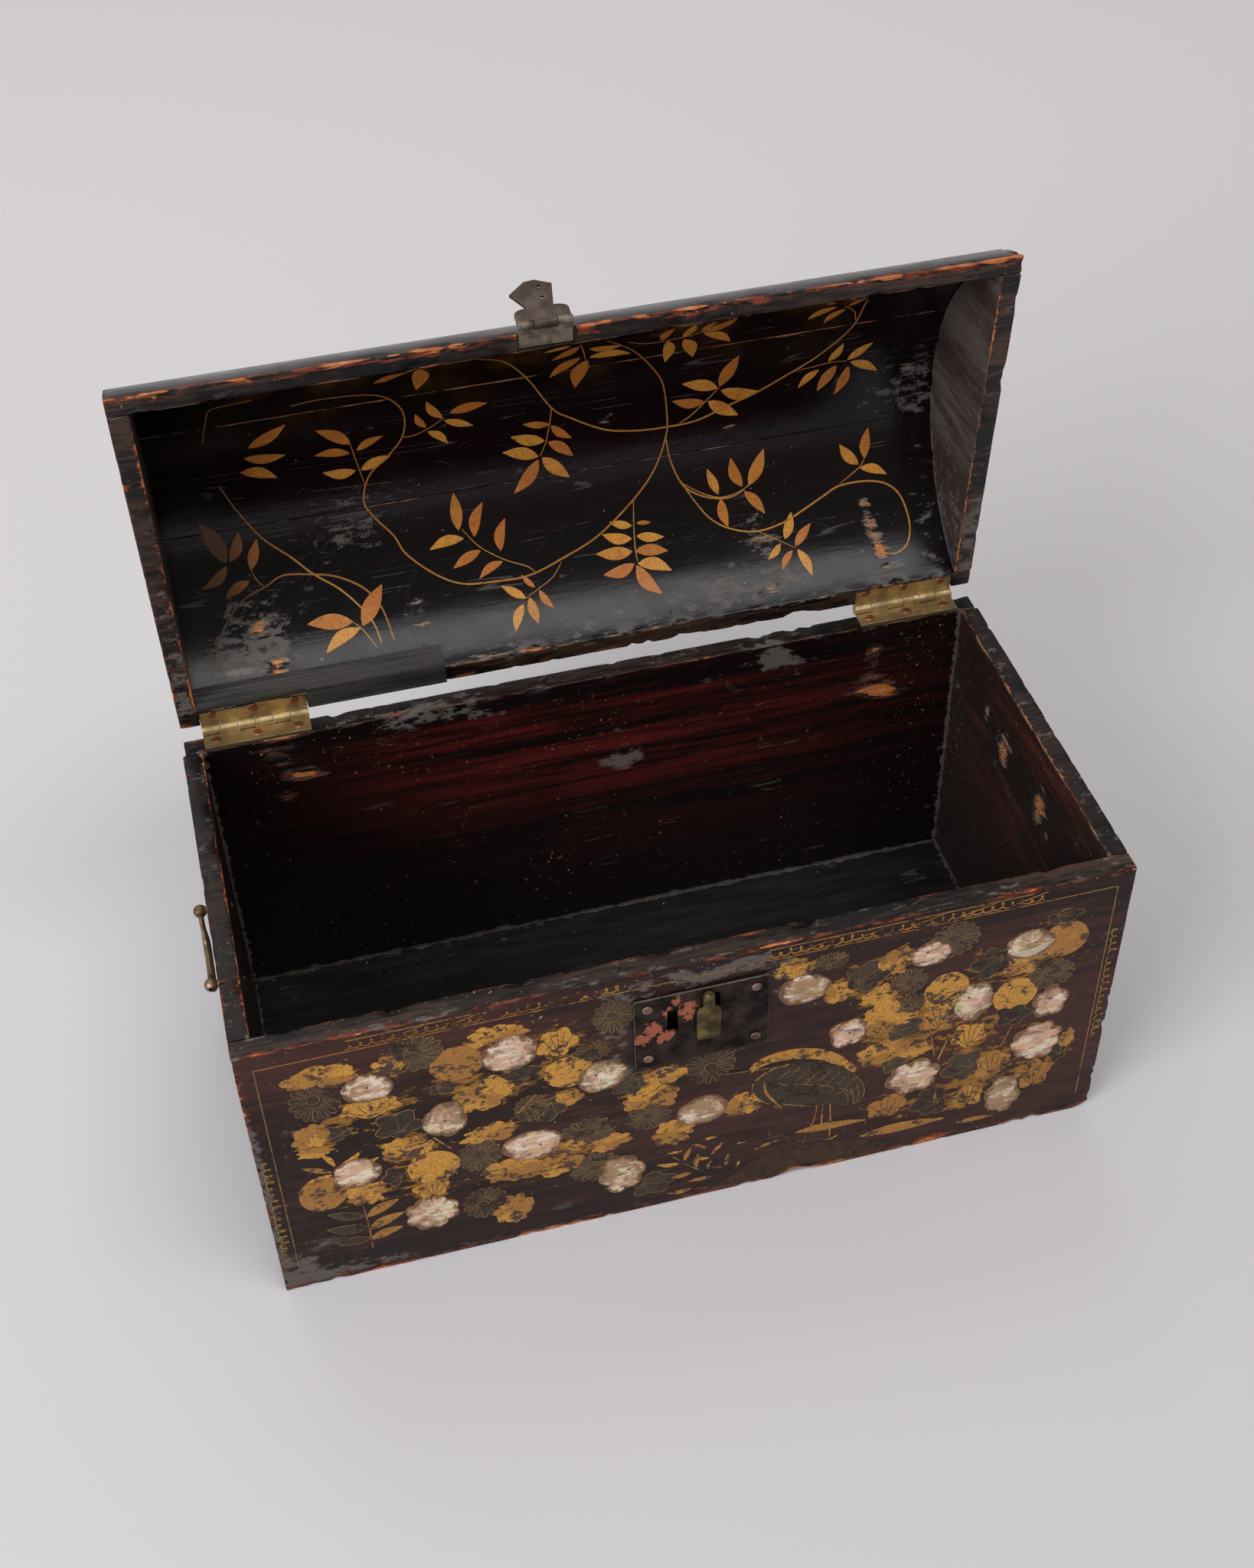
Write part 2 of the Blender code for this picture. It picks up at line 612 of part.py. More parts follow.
def make_handle(side_name, side):
    ball = POST_STANDOFF
    lowest = math.acos(POST_NECK_RADIUS / POST_BALL_RADIUS)
    profile = [(r, ball + z) for r, z in arc((0, 0), POST_BALL_RADIUS, math.pi / 2, -lowest, SMALL_STEPS)]
    profile[0] = (0, ball + POST_BALL_RADIUS)
    profile += [
        (POST_NECK_RADIUS, GAP + POST_FLANGE_THICKNESS),
        (0.8 * POST_FLANGE_RADIUS, GAP + POST_FLANGE_THICKNESS),
        (POST_FLANGE_RADIUS, GAP + POST_FLANGE_THICKNESS / 2),
        (POST_FLANGE_RADIUS, GAP),
        (POST_SHANK_RADIUS, GAP),
        (POST_SHANK_RADIUS, -END_THICKNESS),
        (0, -END_THICKNESS - POST_TIP),
    ]
    shape = turned_mesh(profile)
    axis = Vector((side * (BODY_WIDTH / 2 + ball), 0, POST_HEIGHT))
    beyond = Vector((0, POST_SPACING, 0))
    eye = rod_mesh(axis - beyond, axis + beyond, BAIL_PIN_RADIUS + GAP)
    for end_name, seat in zip(("front", "back"), post_seats(side)):
        name = side_name + "_handle_" + end_name + "_post"
        cut(place(shape.copy(), name, BRASS, None, seat, (0, side * math.pi / 2, 0)), [eye])

    hub = axis_empty(side_name + "_bail_axis", axis)
    corner = POST_SPACING / 2 - POST_BALL_RADIUS - GAP
    arm = corner - BAIL_BEND
    route = [(POST_SPACING / 2 + POST_BALL_RADIUS / 2, 0)]
    route += arc((corner, -BAIL_BEND), BAIL_BEND, math.pi / 2, math.pi, 5)
    route += arc((arm - BAIL_BEND, BAIL_BEND - BAIL_DROP), BAIL_BEND, 0, -math.pi / 2, 5)
    route += [(0, -BAIL_DROP)]
    route += [(-y, z) for y, z in reversed(route[:-1])]
    curve = bpy.data.curves.new("bail", "CURVE")
    curve.dimensions = "3D"
    curve.bevel_depth = BAIL_PIN_RADIUS
    curve.bevel_resolution = 2
    curve.use_fill_caps = True
    spline = curve.splines.new("POLY")
    spline.points.add(len(route) - 1)
    for point, (y, z) in zip(spline.points, route):
        point.co = (0, y, z, 1)
        swell = min(1, max(0, -z - BAIL_BEND) / (BAIL_DROP - BAIL_BEND))
        point.radius = 1 + (BAIL_GRIP_RADIUS / BAIL_PIN_RADIUS - 1) * swell
    mesh = smooth(evaluated_mesh(bpy.data.objects.new("bail", curve)))
    place(mesh, side_name + "_bail", BRASS, hub)


def rim_angle(radius):
    """Angle, from the back, at which a vault arc of this radius meets the plane of the rim."""
    return math.asin((RIM_Z - VAULT_Z) / radius)


def vault_arc(radius, start, end):
    steps = max(2, math.ceil(abs(end - start) / VAULT_STEP))
    return arc((VAULT_Y, VAULT_Z), radius, start, end, steps)


def make_stave(name, start, end):
    """A stave between two angles from the back, where None stands for the rim."""
    ends = []
    for radius in (LID_RADIUS, LID_INNER_RADIUS):
        trim = GAP / 2 / radius
        first = rim_angle(radius) if start is None else start + trim
        last = math.pi - rim_angle(radius) if end is None else end - trim
        ends.append((first, last))
    outline = vault_arc(LID_RADIUS, *ends[0]) + vault_arc(LID_INNER_RADIUS, *reversed(ends[1]))
    return place(outline_mesh([outline], LID_WIDTH), name, BLACK_LACQUER, LID_AXIS, (0, 0, 0), OUTLINE_IN_YZ)


def make_lid():
    back = make_stave("lid_back_stave", None, BACK_SEAM_ANGLE)
    make_stave("lid_crown_stave", BACK_SEAM_ANGLE, FRONT_SEAM_ANGLE)
    front = make_stave("lid_front_stave", FRONT_SEAM_ANGLE, None)
    rebates = []
    holes = []
    leaf_top = HINGE_BARREL_RADIUS + GAP
    for side in (-1, 1):
        reach_x = HINGE_LENGTH / 2 + GAP
        rebates.append(block_mesh(
            (side * HINGE_X - reach_x, -LID_LEAF_WIDTH - GAP, RIM_Z - LID_WALL),
            (side * HINGE_X + reach_x, LID_WALL, leaf_top)))
        for seat in hinge_screw_seats(side * HINGE_X, LID_SCREW_REACH, LID_SEAT_Z):
            holes.append(rod_mesh(seat, seat + Vector((0, 0, SCREW_HOLE_DEPTH)), SCREW_HOLE_RADIUS))
    cut(back, rebates)
    cut(back, holes)
    leaf_back = LID_FRONT_Y + HASP_LEAF_REACH
    recess = block_mesh(
        (HASP_PLACE - HASP_WIDTH / 2 - GAP, LID_FRONT_Y - LID_WALL, RIM_Z - LID_WALL),
        (HASP_PLACE + HASP_WIDTH / 2 + GAP, leaf_back + GAP, RIM_Z + HASP_LEAF_LIFT + HASP_LEAF_THICKNESS + GAP))
    holes = [
        rod_mesh(seat, seat + Vector((0, 0, HASP_NAIL_LENGTH + GAP)), HASP_NAIL_RADIUS + GAP)
        for seat in hasp_nail_seats()]
    cut(front, [recess])
    cut(front, holes)

    inner = LID_INNER_RADIUS - GAP
    start = rim_angle(inner)
    outline = vault_arc(inner, start, math.pi - start)
    for name, side in (("lid_left_end", -1), ("lid_right_end", 1)):
        x = side * (LID_WIDTH - LID_END_THICKNESS) / 2
        place(
            outline_mesh([outline], LID_END_THICKNESS), name, BLACK_LACQUER, LID_AXIS, (x, 0, 0), OUTLINE_IN_YZ)


def make_repair_strip():
    """A fillet inside the back stave, with a lip under the rim beyond the left hinge."""
    inner = LID_INNER_RADIUS - GAP
    low = rim_angle(inner)
    high = low + STRIP_HEIGHT / inner
    seat = vault_arc(inner, low, high)
    foot = (seat[0][0] - STRIP_THICKNESS, RIM_Z)
    brow = (seat[-1][0] - STRIP_THICKNESS / 4, seat[-1][1])
    left = -LID_WIDTH / 2 + LID_END_THICKNESS + GAP
    middle = (left + STRIP_LENGTH / 2, 0, 0)
    strip = place(
        outline_mesh([seat + [brow, foot]], STRIP_LENGTH), "lid_repair_strip", BARE_WOOD, LID_AXIS, middle,
        OUTLINE_IN_YZ)
    lip_left = -HINGE_X + HINGE_LENGTH / 2 + 2 * GAP
    lip = block_mesh(
        (lip_left, foot[0], RIM_Z - GAP - STRIP_LIP), (left + STRIP_LENGTH, LID_BACK_Y - EDGE_WEAR, RIM_Z - GAP))
    heel = block_mesh(
        (lip_left, foot[0], RIM_Z - GAP - STRIP_LIP / 2), (left + STRIP_LENGTH, seat[0][0], RIM_Z + GAP))
    cut(strip, [lip], "UNION")
    cut(strip, [heel], "UNION")


def hasp_nail_seats():
    y = LID_FRONT_Y + HASP_NAIL_REACH
    z = RIM_Z + HASP_LEAF_LIFT
    return [Vector((HASP_PLACE + side * HASP_NAIL_SPACING / 2, y, z)) for side in (-1, 1)]


def make_hasp():
    hub = axis_empty("hasp_axis", (HASP_PLACE, HASP_Y, HASP_Z), (-TONGUE_FLIP, 0, 0), LID_AXIS)
    radius = HASP_BARREL_RADIUS
    bore = circle((0, 0), HASP_PIN_RADIUS + GAP)
    # Fixed leaf: a plate let into the rim, with a knuckle at each end of the barrel
    low = RIM_Z + HASP_LEAF_LIFT - HASP_Z
    high = low + HASP_LEAF_THICKNESS
    reach = LID_FRONT_Y + HASP_LEAF_REACH - HASP_Y
    meet_low = math.asin(low / radius)
    meet_high = math.asin(high / radius)
    section = arc((0, 0), radius, meet_high, 2 * math.pi + meet_low, ROUND_STEPS) + [(reach, low), (reach, high)]
    leaf = place(
        outline_mesh([section, bore], HASP_WIDTH), "hasp_leaf", IRON, LID_AXIS, (HASP_PLACE, HASP_Y, HASP_Z),
        OUTLINE_IN_YZ)
    room = TONGUE_KNUCKLE_WIDTH / 2 + KNUCKLE_GAP
    notch = block_mesh((-room, -2 * radius, -2 * radius), (room, HASP_NOTCH_REACH, 2 * radius))
    notch.transform(Matrix.Translation((HASP_PLACE, HASP_Y, HASP_Z)))
    holes = [
        rod_mesh(seat - Vector((0, 0, radius)), seat + Vector((0, 0, radius)), HASP_NAIL_RADIUS + GAP)
        for seat in hasp_nail_seats()]
    cut(leaf, [notch] + holes)
    head = GAP + HASP_NAIL_HEAD_HEIGHT
    profile = (
        (0, head),
        (0.7 * HASP_NAIL_HEAD_RADIUS, head - HASP_NAIL_HEAD_HEIGHT / 4),
        (HASP_NAIL_HEAD_RADIUS, GAP),
        (HASP_NAIL_RADIUS, GAP),
        (HASP_NAIL_RADIUS, -HASP_NAIL_LENGTH + HASP_NAIL_RADIUS),
        (0, -HASP_NAIL_LENGTH),
    )
    place_copies(turned_mesh(profile), "hasp_leaf_nail", IRON, hasp_nail_seats(), (math.pi, 0, 0), LID_AXIS)
    half = Vector((HASP_WIDTH / 2, 0, 0))
    place(
        rod_mesh(-half, half, HASP_PIN_RADIUS), "hasp_pin", IRON, LID_AXIS, (HASP_PLACE, HASP_Y, HASP_Z))
    make_tongue(hub, bore)


def make_tongue(hub, bore):
    """The hasp's tongue, drawn hanging from the axis, with its broken, lopsided head."""
    half = HASP_WIDTH / 2
    neck = TONGUE_NECK_WIDTH / 2
    side = half - neck
    rounding = TONGUE_NECK - TONGUE_SHOULDER
    base = [(-half, TONGUE_BASE_START)]
    base += [(-half + side * (1 - c), TONGUE_SHOULDER + rounding * s) for c, s in arc((0, 0), 1, 0, math.pi / 2, 4)]
    head = [
        (-TONGUE_TIP_REACH, TONGUE_TIP),
        (-TONGUE_TIP_REACH / 3, TONGUE_LENGTH - EDGE_WEAR / 2),
        (EDGE_WEAR, TONGUE_LENGTH),
        (TONGUE_HEAD_REACH, (TONGUE_TIP + TONGUE_LENGTH) / 2),
    ]
    other = [(-x, s) for x, s in reversed(base)]
    outline = [(x, -s) for x, s in base + head + other]
    holes = [circle((x, -s), TONGUE_HOLE_RADIUS, HOLE_STEPS) for x, s in TONGUE_HOLES]
    offset = -(HASP_BARREL_RADIUS - TONGUE_THICKNESS / 2)
    tongue = place(
        outline_mesh([outline] + holes, TONGUE_THICKNESS), "hasp_tongue", IRON, hub, (0, offset, 0), OUTLINE_IN_XZ)
    radius = HASP_BARREL_RADIUS
    inner = radius - TONGUE_THICKNESS
    meet = math.asin(inner / radius)
    section = arc((0, 0), radius, -math.pi / 2 - meet, math.pi, ROUND_STEPS)
    section += [(-radius, -TONGUE_BASE_START - GAP), (-inner, -TONGUE_BASE_START - GAP)]
    knuckle = outline_mesh([section, bore], TONGUE_KNUCKLE_WIDTH)
    knuckle.transform(Matrix(((0, 0, 1), (1, 0, 0), (0, 1, 0))).to_4x4())
    cut(tongue, [knuckle], "UNION")


make_carcase()
make_lock()
make_keyhole_cover()
make_lid()
make_repair_strip()
make_hasp()
for SIDE_NAME, SIDE in (("left", -1), ("right", 1)):
    make_hinge(SIDE_NAME, SIDE)
    make_handle(SIDE_NAME, SIDE)
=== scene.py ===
"""Looks of the lacquer coffer: worn boards, gold and pearl ornament, fittings, light and camera.

Metres, +Z up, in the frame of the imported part. Ornament and spots of wear are laid out in millimetres on the
face that carries them.
"""

import json
import math
import random

import bmesh
import bpy
import numpy as np
from mathutils import Matrix, Vector, noise


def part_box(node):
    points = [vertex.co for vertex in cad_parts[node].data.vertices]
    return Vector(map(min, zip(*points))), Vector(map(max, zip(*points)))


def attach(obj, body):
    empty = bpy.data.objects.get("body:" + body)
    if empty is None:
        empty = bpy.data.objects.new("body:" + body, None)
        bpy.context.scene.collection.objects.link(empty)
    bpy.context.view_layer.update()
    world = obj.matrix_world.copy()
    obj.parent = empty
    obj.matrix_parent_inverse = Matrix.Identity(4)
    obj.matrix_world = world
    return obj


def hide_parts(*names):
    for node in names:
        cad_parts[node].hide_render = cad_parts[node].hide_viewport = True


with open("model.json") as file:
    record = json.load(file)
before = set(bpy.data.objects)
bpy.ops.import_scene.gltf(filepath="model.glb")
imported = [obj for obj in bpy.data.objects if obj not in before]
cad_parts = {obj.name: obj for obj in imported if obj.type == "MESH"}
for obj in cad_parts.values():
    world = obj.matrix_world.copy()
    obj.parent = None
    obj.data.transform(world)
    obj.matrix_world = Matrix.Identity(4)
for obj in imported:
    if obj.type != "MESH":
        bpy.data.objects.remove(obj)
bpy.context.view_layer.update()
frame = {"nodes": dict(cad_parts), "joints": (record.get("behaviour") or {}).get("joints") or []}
NODES = frame["nodes"]
MM = 0.001

# Carcase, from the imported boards
FRONT_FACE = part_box("front_board")[0].y
BODY_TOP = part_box("front_board")[1].z
FLOOR_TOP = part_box("bottom_board")[1].z

# Lid, drawn closed from the hinge axis and turned open
LID_JOINT = next(joint for joint in frame["joints"] if joint["name"] == "lid_hinge")
OPEN_ANGLE = math.radians(85)
LID_PLACE = Matrix.Translation(LID_JOINT["pos_m"]) @ Matrix.Rotation(-OPEN_ANGLE, 4, "X")
LID_WIDTH = 0.447
LID_DEPTH = 0.2195
LID_RISE = 0.0761
LID_WALL = 0.0097
LID_END_THICKNESS = 0.0100
LID_BACK_Y = -0.0045
RIM_Z = -0.0003
GAP = 0.0003
FRONT_SEAM = math.radians(111)
BACK_SEAM = math.radians(73)
LID_RADIUS = (LID_RISE ** 2 + (LID_DEPTH / 2) ** 2) / (2 * LID_RISE)
LID_INNER = LID_RADIUS - LID_WALL
VAULT_Y = LID_BACK_Y - LID_DEPTH / 2
VAULT_Z = RIM_Z + LID_RISE - LID_RADIUS
LID_FRONT_Y = LID_BACK_Y - LID_DEPTH
HINGE_REBATE_DEPTH = 0.0132
HINGE_REBATE_HEIGHT = 0.0030
HASP_RECESS_DEPTH = 0.0085
HASP_RECESS_HEIGHT = 0.0018

# Ornament thickness, in millimetres
SINK = 0.30
PAINT = 0.16
INLAY = 0.45


def tint(red, green, blue):
    """A colour from 0 to 255 as the eye reads it, as the linear colour that shaders take."""
    shares = [c / 255 for c in (red, green, blue)]
    return tuple(s / 12.92 if s < 0.04045 else ((s + 0.055) / 1.055) ** 2.4 for s in shares) + (1.0,)


EVEN = (1, 1, 1)
HAIR_LEVEL = 0.62
HAIR_WIDTH = 0.010


class Look:
    """The nodes of a new material or world. Each step adds nodes and returns the output that they end in."""

    def __init__(self, holder, shader="Principled BSDF", where="Object"):
        self.holder = holder
        self.holder.use_nodes = True
        self.tree = self.holder.node_tree
        self.shader = self.tree.nodes[shader]
        self.where = self.node("TexCoord").outputs[where]

    def feed(self, socket, value):
        if isinstance(value, bpy.types.NodeSocket):
            self.tree.links.new(value, socket)
        else:
            socket.default_value = value

    def node(self, kind, *inputs, **settings):
        """A node with its settings, and with values or outputs fed to its first inputs."""
        made = self.tree.nodes.new("ShaderNode" + kind)
        for name, value in settings.items():
            setattr(made, name, value)
        for socket, value in zip(made.inputs, inputs):
            self.feed(socket, value)
        return made

    def set(self, **values):
        """Sets the shader's inputs, named with underscores."""
        for name, value in values.items():
            self.feed(self.shader.inputs[name.replace("_", " ")], value)
        return self.holder

    def noise(self, scale, detail, stretch=EVEN, roughness=0.6, turn=(0, 0, 0)):
        spread = self.node("Mapping", self.where)
        spread.inputs["Rotation"].default_value = turn
        spread.inputs["Scale"].default_value = stretch
        made = self.node("TexNoise", spread.outputs["Vector"])
        for name, value in (("Scale", scale), ("Detail", detail), ("Roughness", roughness)):
            made.inputs[name].default_value = value
        return made.outputs[0]

    def mark(self, name):
        """A number that the mesh holds at each of its points."""
        return self.node("Attribute", attribute_name=name).outputs["Fac"]

    def math(self, operation, one, two=0.0, three=0.0):
        return self.node("Math", one, two, three, operation=operation).outputs[0]

    def plus(self, value, wave, amount):
        """A value with a noise of 0 to 1 spread about it."""
        return self.math("ADD", value, self.math("MULTIPLY_ADD", wave, amount, -amount / 2))

    def step(self, value, low, high, first=0.0, last=1.0):
        """A smooth change from a first level to a last one as the value goes from low to high."""
        made = self.node("MapRange", value, low, high, first, last, interpolation_type="SMOOTHSTEP")
        return made.outputs[0]

    def mix(self, share, one, two):
        made = self.node("Mix", share, data_type="RGBA")
        self.feed(made.inputs[6], one)
        self.feed(made.inputs[7], two)
        return made.outputs[2]

    def near(self, place, reach):
        """1 at a place, given in metres, falling to 0 at its reach."""
        away = self.node("VectorMath", self.where, place, operation="DISTANCE").outputs["Value"]
        return self.step(away, 0, reach, 1, 0)

    def rim_of(self, low, high, reach):
        """1 along the sides of a flat box that faces along Y, falling to 0 at a reach inside it."""
        split = self.node("SeparateXYZ", self.where)
        gap = 1.0
        for axis in (0, 2):
            gap = self.math("MINIMUM", gap, self.math("SUBTRACT", split.outputs[axis], low[axis]))
            gap = self.math("MINIMUM", gap, self.math("SUBTRACT", high[axis], split.outputs[axis]))
        return self.step(gap, 0, reach, 1, 0)

    def ramp(self, value, *stops):
        """Colours at places from 0 to 1 along a value."""
        made = self.node("ValToRGB", value)
        points = made.color_ramp.elements
        while len(points) < len(stops):
            points.new(0.5)
        for point, (place, colour) in zip(points, stops):
            point.position = place
            point.color = colour
        return made.outputs[0]

    def flecks(self, scale, level):
        """Small ragged specks, thick in some places and thin in others."""
        lift = self.math("MULTIPLY_ADD", self.noise(18, 3), -0.25, level + 0.125)
        over = self.math("SUBTRACT", self.noise(scale, 3), lift)
        return self.step(over, 0, 0.03)

    def scratches(self, scale, turn, stretch, share):
        """Hair lines: thin contours of a long drawn noise, kept in a share of the surface."""
        wave = self.noise(scale, 1, stretch, 0.5, turn)
        line = self.step(self.math("ABSOLUTE", self.math("SUBTRACT", wave, HAIR_LEVEL)), 0, HAIR_WIDTH, 1, 0)
        return self.math("MULTIPLY", line, self.step(self.noise(45, 4), 0.62 - share, 0.70 - share))

    def bump(self, height, distance, strength):
        made = self.node("Bump")
        made.inputs["Strength"].default_value = strength
        made.inputs["Distance"].default_value = distance
        self.feed(made.inputs["Height"], height)
        self.feed(self.shader.inputs["Normal"], made.outputs["Normal"])


def new_look(name):
    return Look(bpy.data.materials.new(name))


# Materials, with colours from 0 to 255
LONG_GRAIN = (0.12, 1, 1)
FINE_GRAIN = (0.05, 1, 1)
DEPTH_GRAIN = (1, 0.12, 1)
RED_GROUND = (124, 58, 38)
GREY_GROUND = (136, 118, 102)
ORANGE_WOOD = tint(186, 106, 54)
PALE_WOOD = tint(206, 156, 112)
# Pale grey of dust, also used as a painted sheen
DUST_AND_SHEEN = tint(118, 111, 106)
HAIR = tint(150, 142, 136)
# Dark brown for the vine's left end: partly fading, partly painted shade
FADED_AND_SHADED = tint(52, 32, 22)
COPPER_PATCH = tint(184, 112, 88)
PALE_SIDE = 0.0012


def lacquer(
        name, deep, warm, under, gloss, shine, scuffs, specks, grain=LONG_GRAIN, bands=10, lines=190,
        relief=0.6, speck=(188, 168, 146), haze=None):
    """Old lacquer: clouded, scratched and dusty, worn through to its ground and then to the wood. The same
    pale grey is a painted sheen where the dust mark is raised for one.
    """
    deep, warm, under, speck = [tint(*colour) for colour in (deep, warm, under, speck)]
    look = new_look(name)
    cloud = look.plus(look.noise(bands, 4, grain), look.noise(lines, 5, grain), 0.6)
    warmth = look.math("MULTIPLY", look.step(cloud, 0.38, 0.68), look.mark("warm"))
    colour = look.mix(warmth, deep, warm)
    # Grey from the dust mark: real dust in most places, painted sheen on the rim tops, on the inner faces of
    # the lid's ends and near the lid's back rim
    dust_and_sheen = look.step(look.plus(look.mark("dust_and_sheen"), look.noise(190, 9, (0.5, 1, 1), 0.74), 2.6), 0.44, 0.66)
    hair = look.math("MAXIMUM", look.scratches(110, (0.2, 0.5, 0.4), (0.03, 1, 0.4), scuffs),
                     look.scratches(120, (0.6, -0.4, -0.7), (0.03, 0.5, 1), scuffs))
    colour = look.mix(look.math("MULTIPLY", hair, look.math("MULTIPLY_ADD", dust_and_sheen, 0.45, 0.20)), colour, HAIR)
    colour = look.mix(look.math("MULTIPLY", dust_and_sheen, 0.62), colour, DUST_AND_SHEEN)
    fleck = look.flecks(430, specks)
    colour = look.mix(look.math("MULTIPLY", fleck, 0.75), colour, speck)
    if haze:
        powder = look.plus(look.mark("gold"), look.noise(230, 9, (0.4, 1, 1), 0.74), 2.2)
        colour = look.mix(look.step(powder, 0.36, 0.54, 0, 0.70), colour, tint(*haze))
    streak = [0.5 * share + 0.15 if share < 1 else 1 for share in grain]
    ragged = look.plus(look.mark("wear"), look.noise(230, 9, streak, 0.72), 2.6)
    worn = look.step(ragged, 0.50, 0.58)
    colour = look.mix(worn, colour, look.mix(look.step(look.noise(420, 4, streak), 0.4, 0.6), under, deep))
    wood = look.mix(look.step(look.noise(500, 4, (0.2, 1, 1)), 0.46, 0.74), ORANGE_WOOD, PALE_WOOD)
    colour = look.mix(look.step(ragged, 0.84, 0.92), colour, wood)
    rough = look.step(look.noise(40, 6), 0.25, 0.75, gloss, gloss + 0.12)
    rough = look.math("MULTIPLY_ADD", dust_and_sheen, 0.25, rough)
    rough = look.math("MULTIPLY_ADD", worn, 0.30, rough)
    ridges = look.math("MULTIPLY_ADD", look.noise(520, 5, grain, 0.7), 0.5, look.noise(150, 7, grain))
    look.bump(look.math("MULTIPLY_ADD", worn, -0.8, ridges), 0.0003, relief)
    return look.set(Base_Color=colour, Roughness=rough, Specular_IOR_Level=shine)


def gilding(name, bright, dull, bare, rubbed, roughness, shine=0.4):
    """Paint, mostly gold: uneven in tone, rubbed away in flecks, and darkened where its tone is below 0,
    partly as fading and partly as painted shade.
    """
    bright, dull, bare = [tint(*colour) for colour in (bright, dull, bare)]
    look = new_look(name)
    patch = look.plus(look.mark("tone"), look.noise(150, 6), 1.1)
    colour = look.mix(look.step(patch, 0.20, 0.80), dull, bright)
    fine = look.plus(look.noise(420, 6, (0.7, 1, 1), 0.7), look.noise(95, 5), 0.9)
    lost = look.step(fine, rubbed - 0.05, rubbed + 0.05, 1, 0)
    mottle = look.step(look.noise(800, 5, EVEN, 0.7), 0.42, 0.54, 0.45, 0)
    colour = look.mix(look.math("MAXIMUM", lost, mottle), colour, bare)
    # Tone below 0 darkens the paint: partly fading, partly painted shade over the lid's left end
    colour = look.mix(look.step(look.mark("tone"), -1.0, 0.0, 0.80, 0.0), colour, FADED_AND_SHADED)
    look.bump(look.noise(600, 3), 0.0001, 0.4)
    return look.set(Base_Color=colour, Roughness=roughness, Specular_IOR_Level=shine)


def mother_of_pearl():
    """Shell in cream, pink and green clouds, stained brown towards its rim and pitted."""
    look = new_look("mother_of_pearl")
    bands = look.plus(look.noise(160, 4, (0.35, 1, 1), 0.6), look.mark("tone"), 0.16)
    colour = look.ramp(
        bands, (0.28, tint(122, 86, 50)), (0.35, tint(168, 170, 116)), (0.42, tint(222, 194, 138)),
        (0.48, tint(228, 214, 186)), (0.54, tint(214, 154, 140)), (0.60, tint(214, 180, 128)),
        (0.66, tint(172, 124, 124)), (0.74, tint(116, 80, 50)))
    shade = look.plus(look.noise(95, 6, EVEN, 0.7), look.mark("tone"), -0.24)
    colour = look.mix(look.step(shade, 0.44, 0.60, 0.0, 0.85), colour, tint(148, 106, 62))
    glint = look.step(look.noise(260, 4, (0.3, 1, 1), 0.6), 0.54, 0.64, 0.0, 0.7)
    colour = look.mix(glint, colour, tint(240, 230, 210))
    stain = look.plus(look.mark("rim"), look.noise(150, 7, EVEN, 0.7), 2.0)
    colour = look.mix(look.step(stain, 0.74, 1.05), colour, tint(106, 68, 38))
    colour = look.mix(look.flecks(300, 0.69), colour, tint(66, 46, 34))
    look.bump(look.noise(190, 7), 0.0006, 0.8)
    return look.set(Base_Color=colour, Roughness=0.26, Coat_Weight=0.25, Coat_Roughness=0.12)


def metal(name, bright, tarnish, roughness, patches=(), rim=None):
    """Old metal, tarnished and scratched. A plate has copper patches and pale sides as well."""
    bright, tarnish = [tint(*colour) for colour in (bright, tarnish)]
    look = new_look(name)
    cloud = look.noise(90, 6)
    colour = look.mix(look.step(cloud, 0.34, 0.66), bright, tarnish)
    scratch = look.step(look.noise(700, 2, (0.06, 1, 1)), 0.62, 0.72)
    colour = look.mix(look.math("MULTIPLY", scratch, 0.35), colour, bright)
    colour = look.mix(look.math("MULTIPLY", look.flecks(620, 0.68), 0.6), colour, tint(40, 32, 26))
    reach = 0.0
    for place, size in patches:
        reach = look.math("MAXIMUM", reach, look.near(place, size))
    if patches:
        bare = look.step(look.plus(reach, look.noise(330, 6, EVEN, 0.7), 1.9), 0.55, 0.60)
        colour = look.mix(bare, colour, COPPER_PATCH)
    if rim:
        edge = look.plus(look.rim_of(*rim, PALE_SIDE), look.noise(260, 5), 0.9)
        colour = look.mix(look.step(edge, 0.55, 1.1, 0, 0.7), colour, tint(138, 130, 122))
    rough = look.step(cloud, 0.2, 0.8, roughness, roughness + 0.22)
    look.bump(look.noise(320, 5), 0.00015, 0.5)
    return look.set(Base_Color=colour, Metallic=1.0, Roughness=rough)


def grey_wood():
    """Bare weathered wood with grain along X."""
    look = new_look("grey_wood")
    rings = look.noise(330, 4, (0.035, 1, 1), 0.65)
    colour = look.mix(look.step(rings, 0.35, 0.65), tint(34, 33, 32), tint(70, 67, 65))
    colour = look.mix(look.step(look.noise(40, 5, (0.3, 1, 1)), 0.45, 0.75), colour, tint(70, 66, 63))
    look.bump(rings, 0.0005, 0.7)
    return look.set(Base_Color=colour, Roughness=0.55)


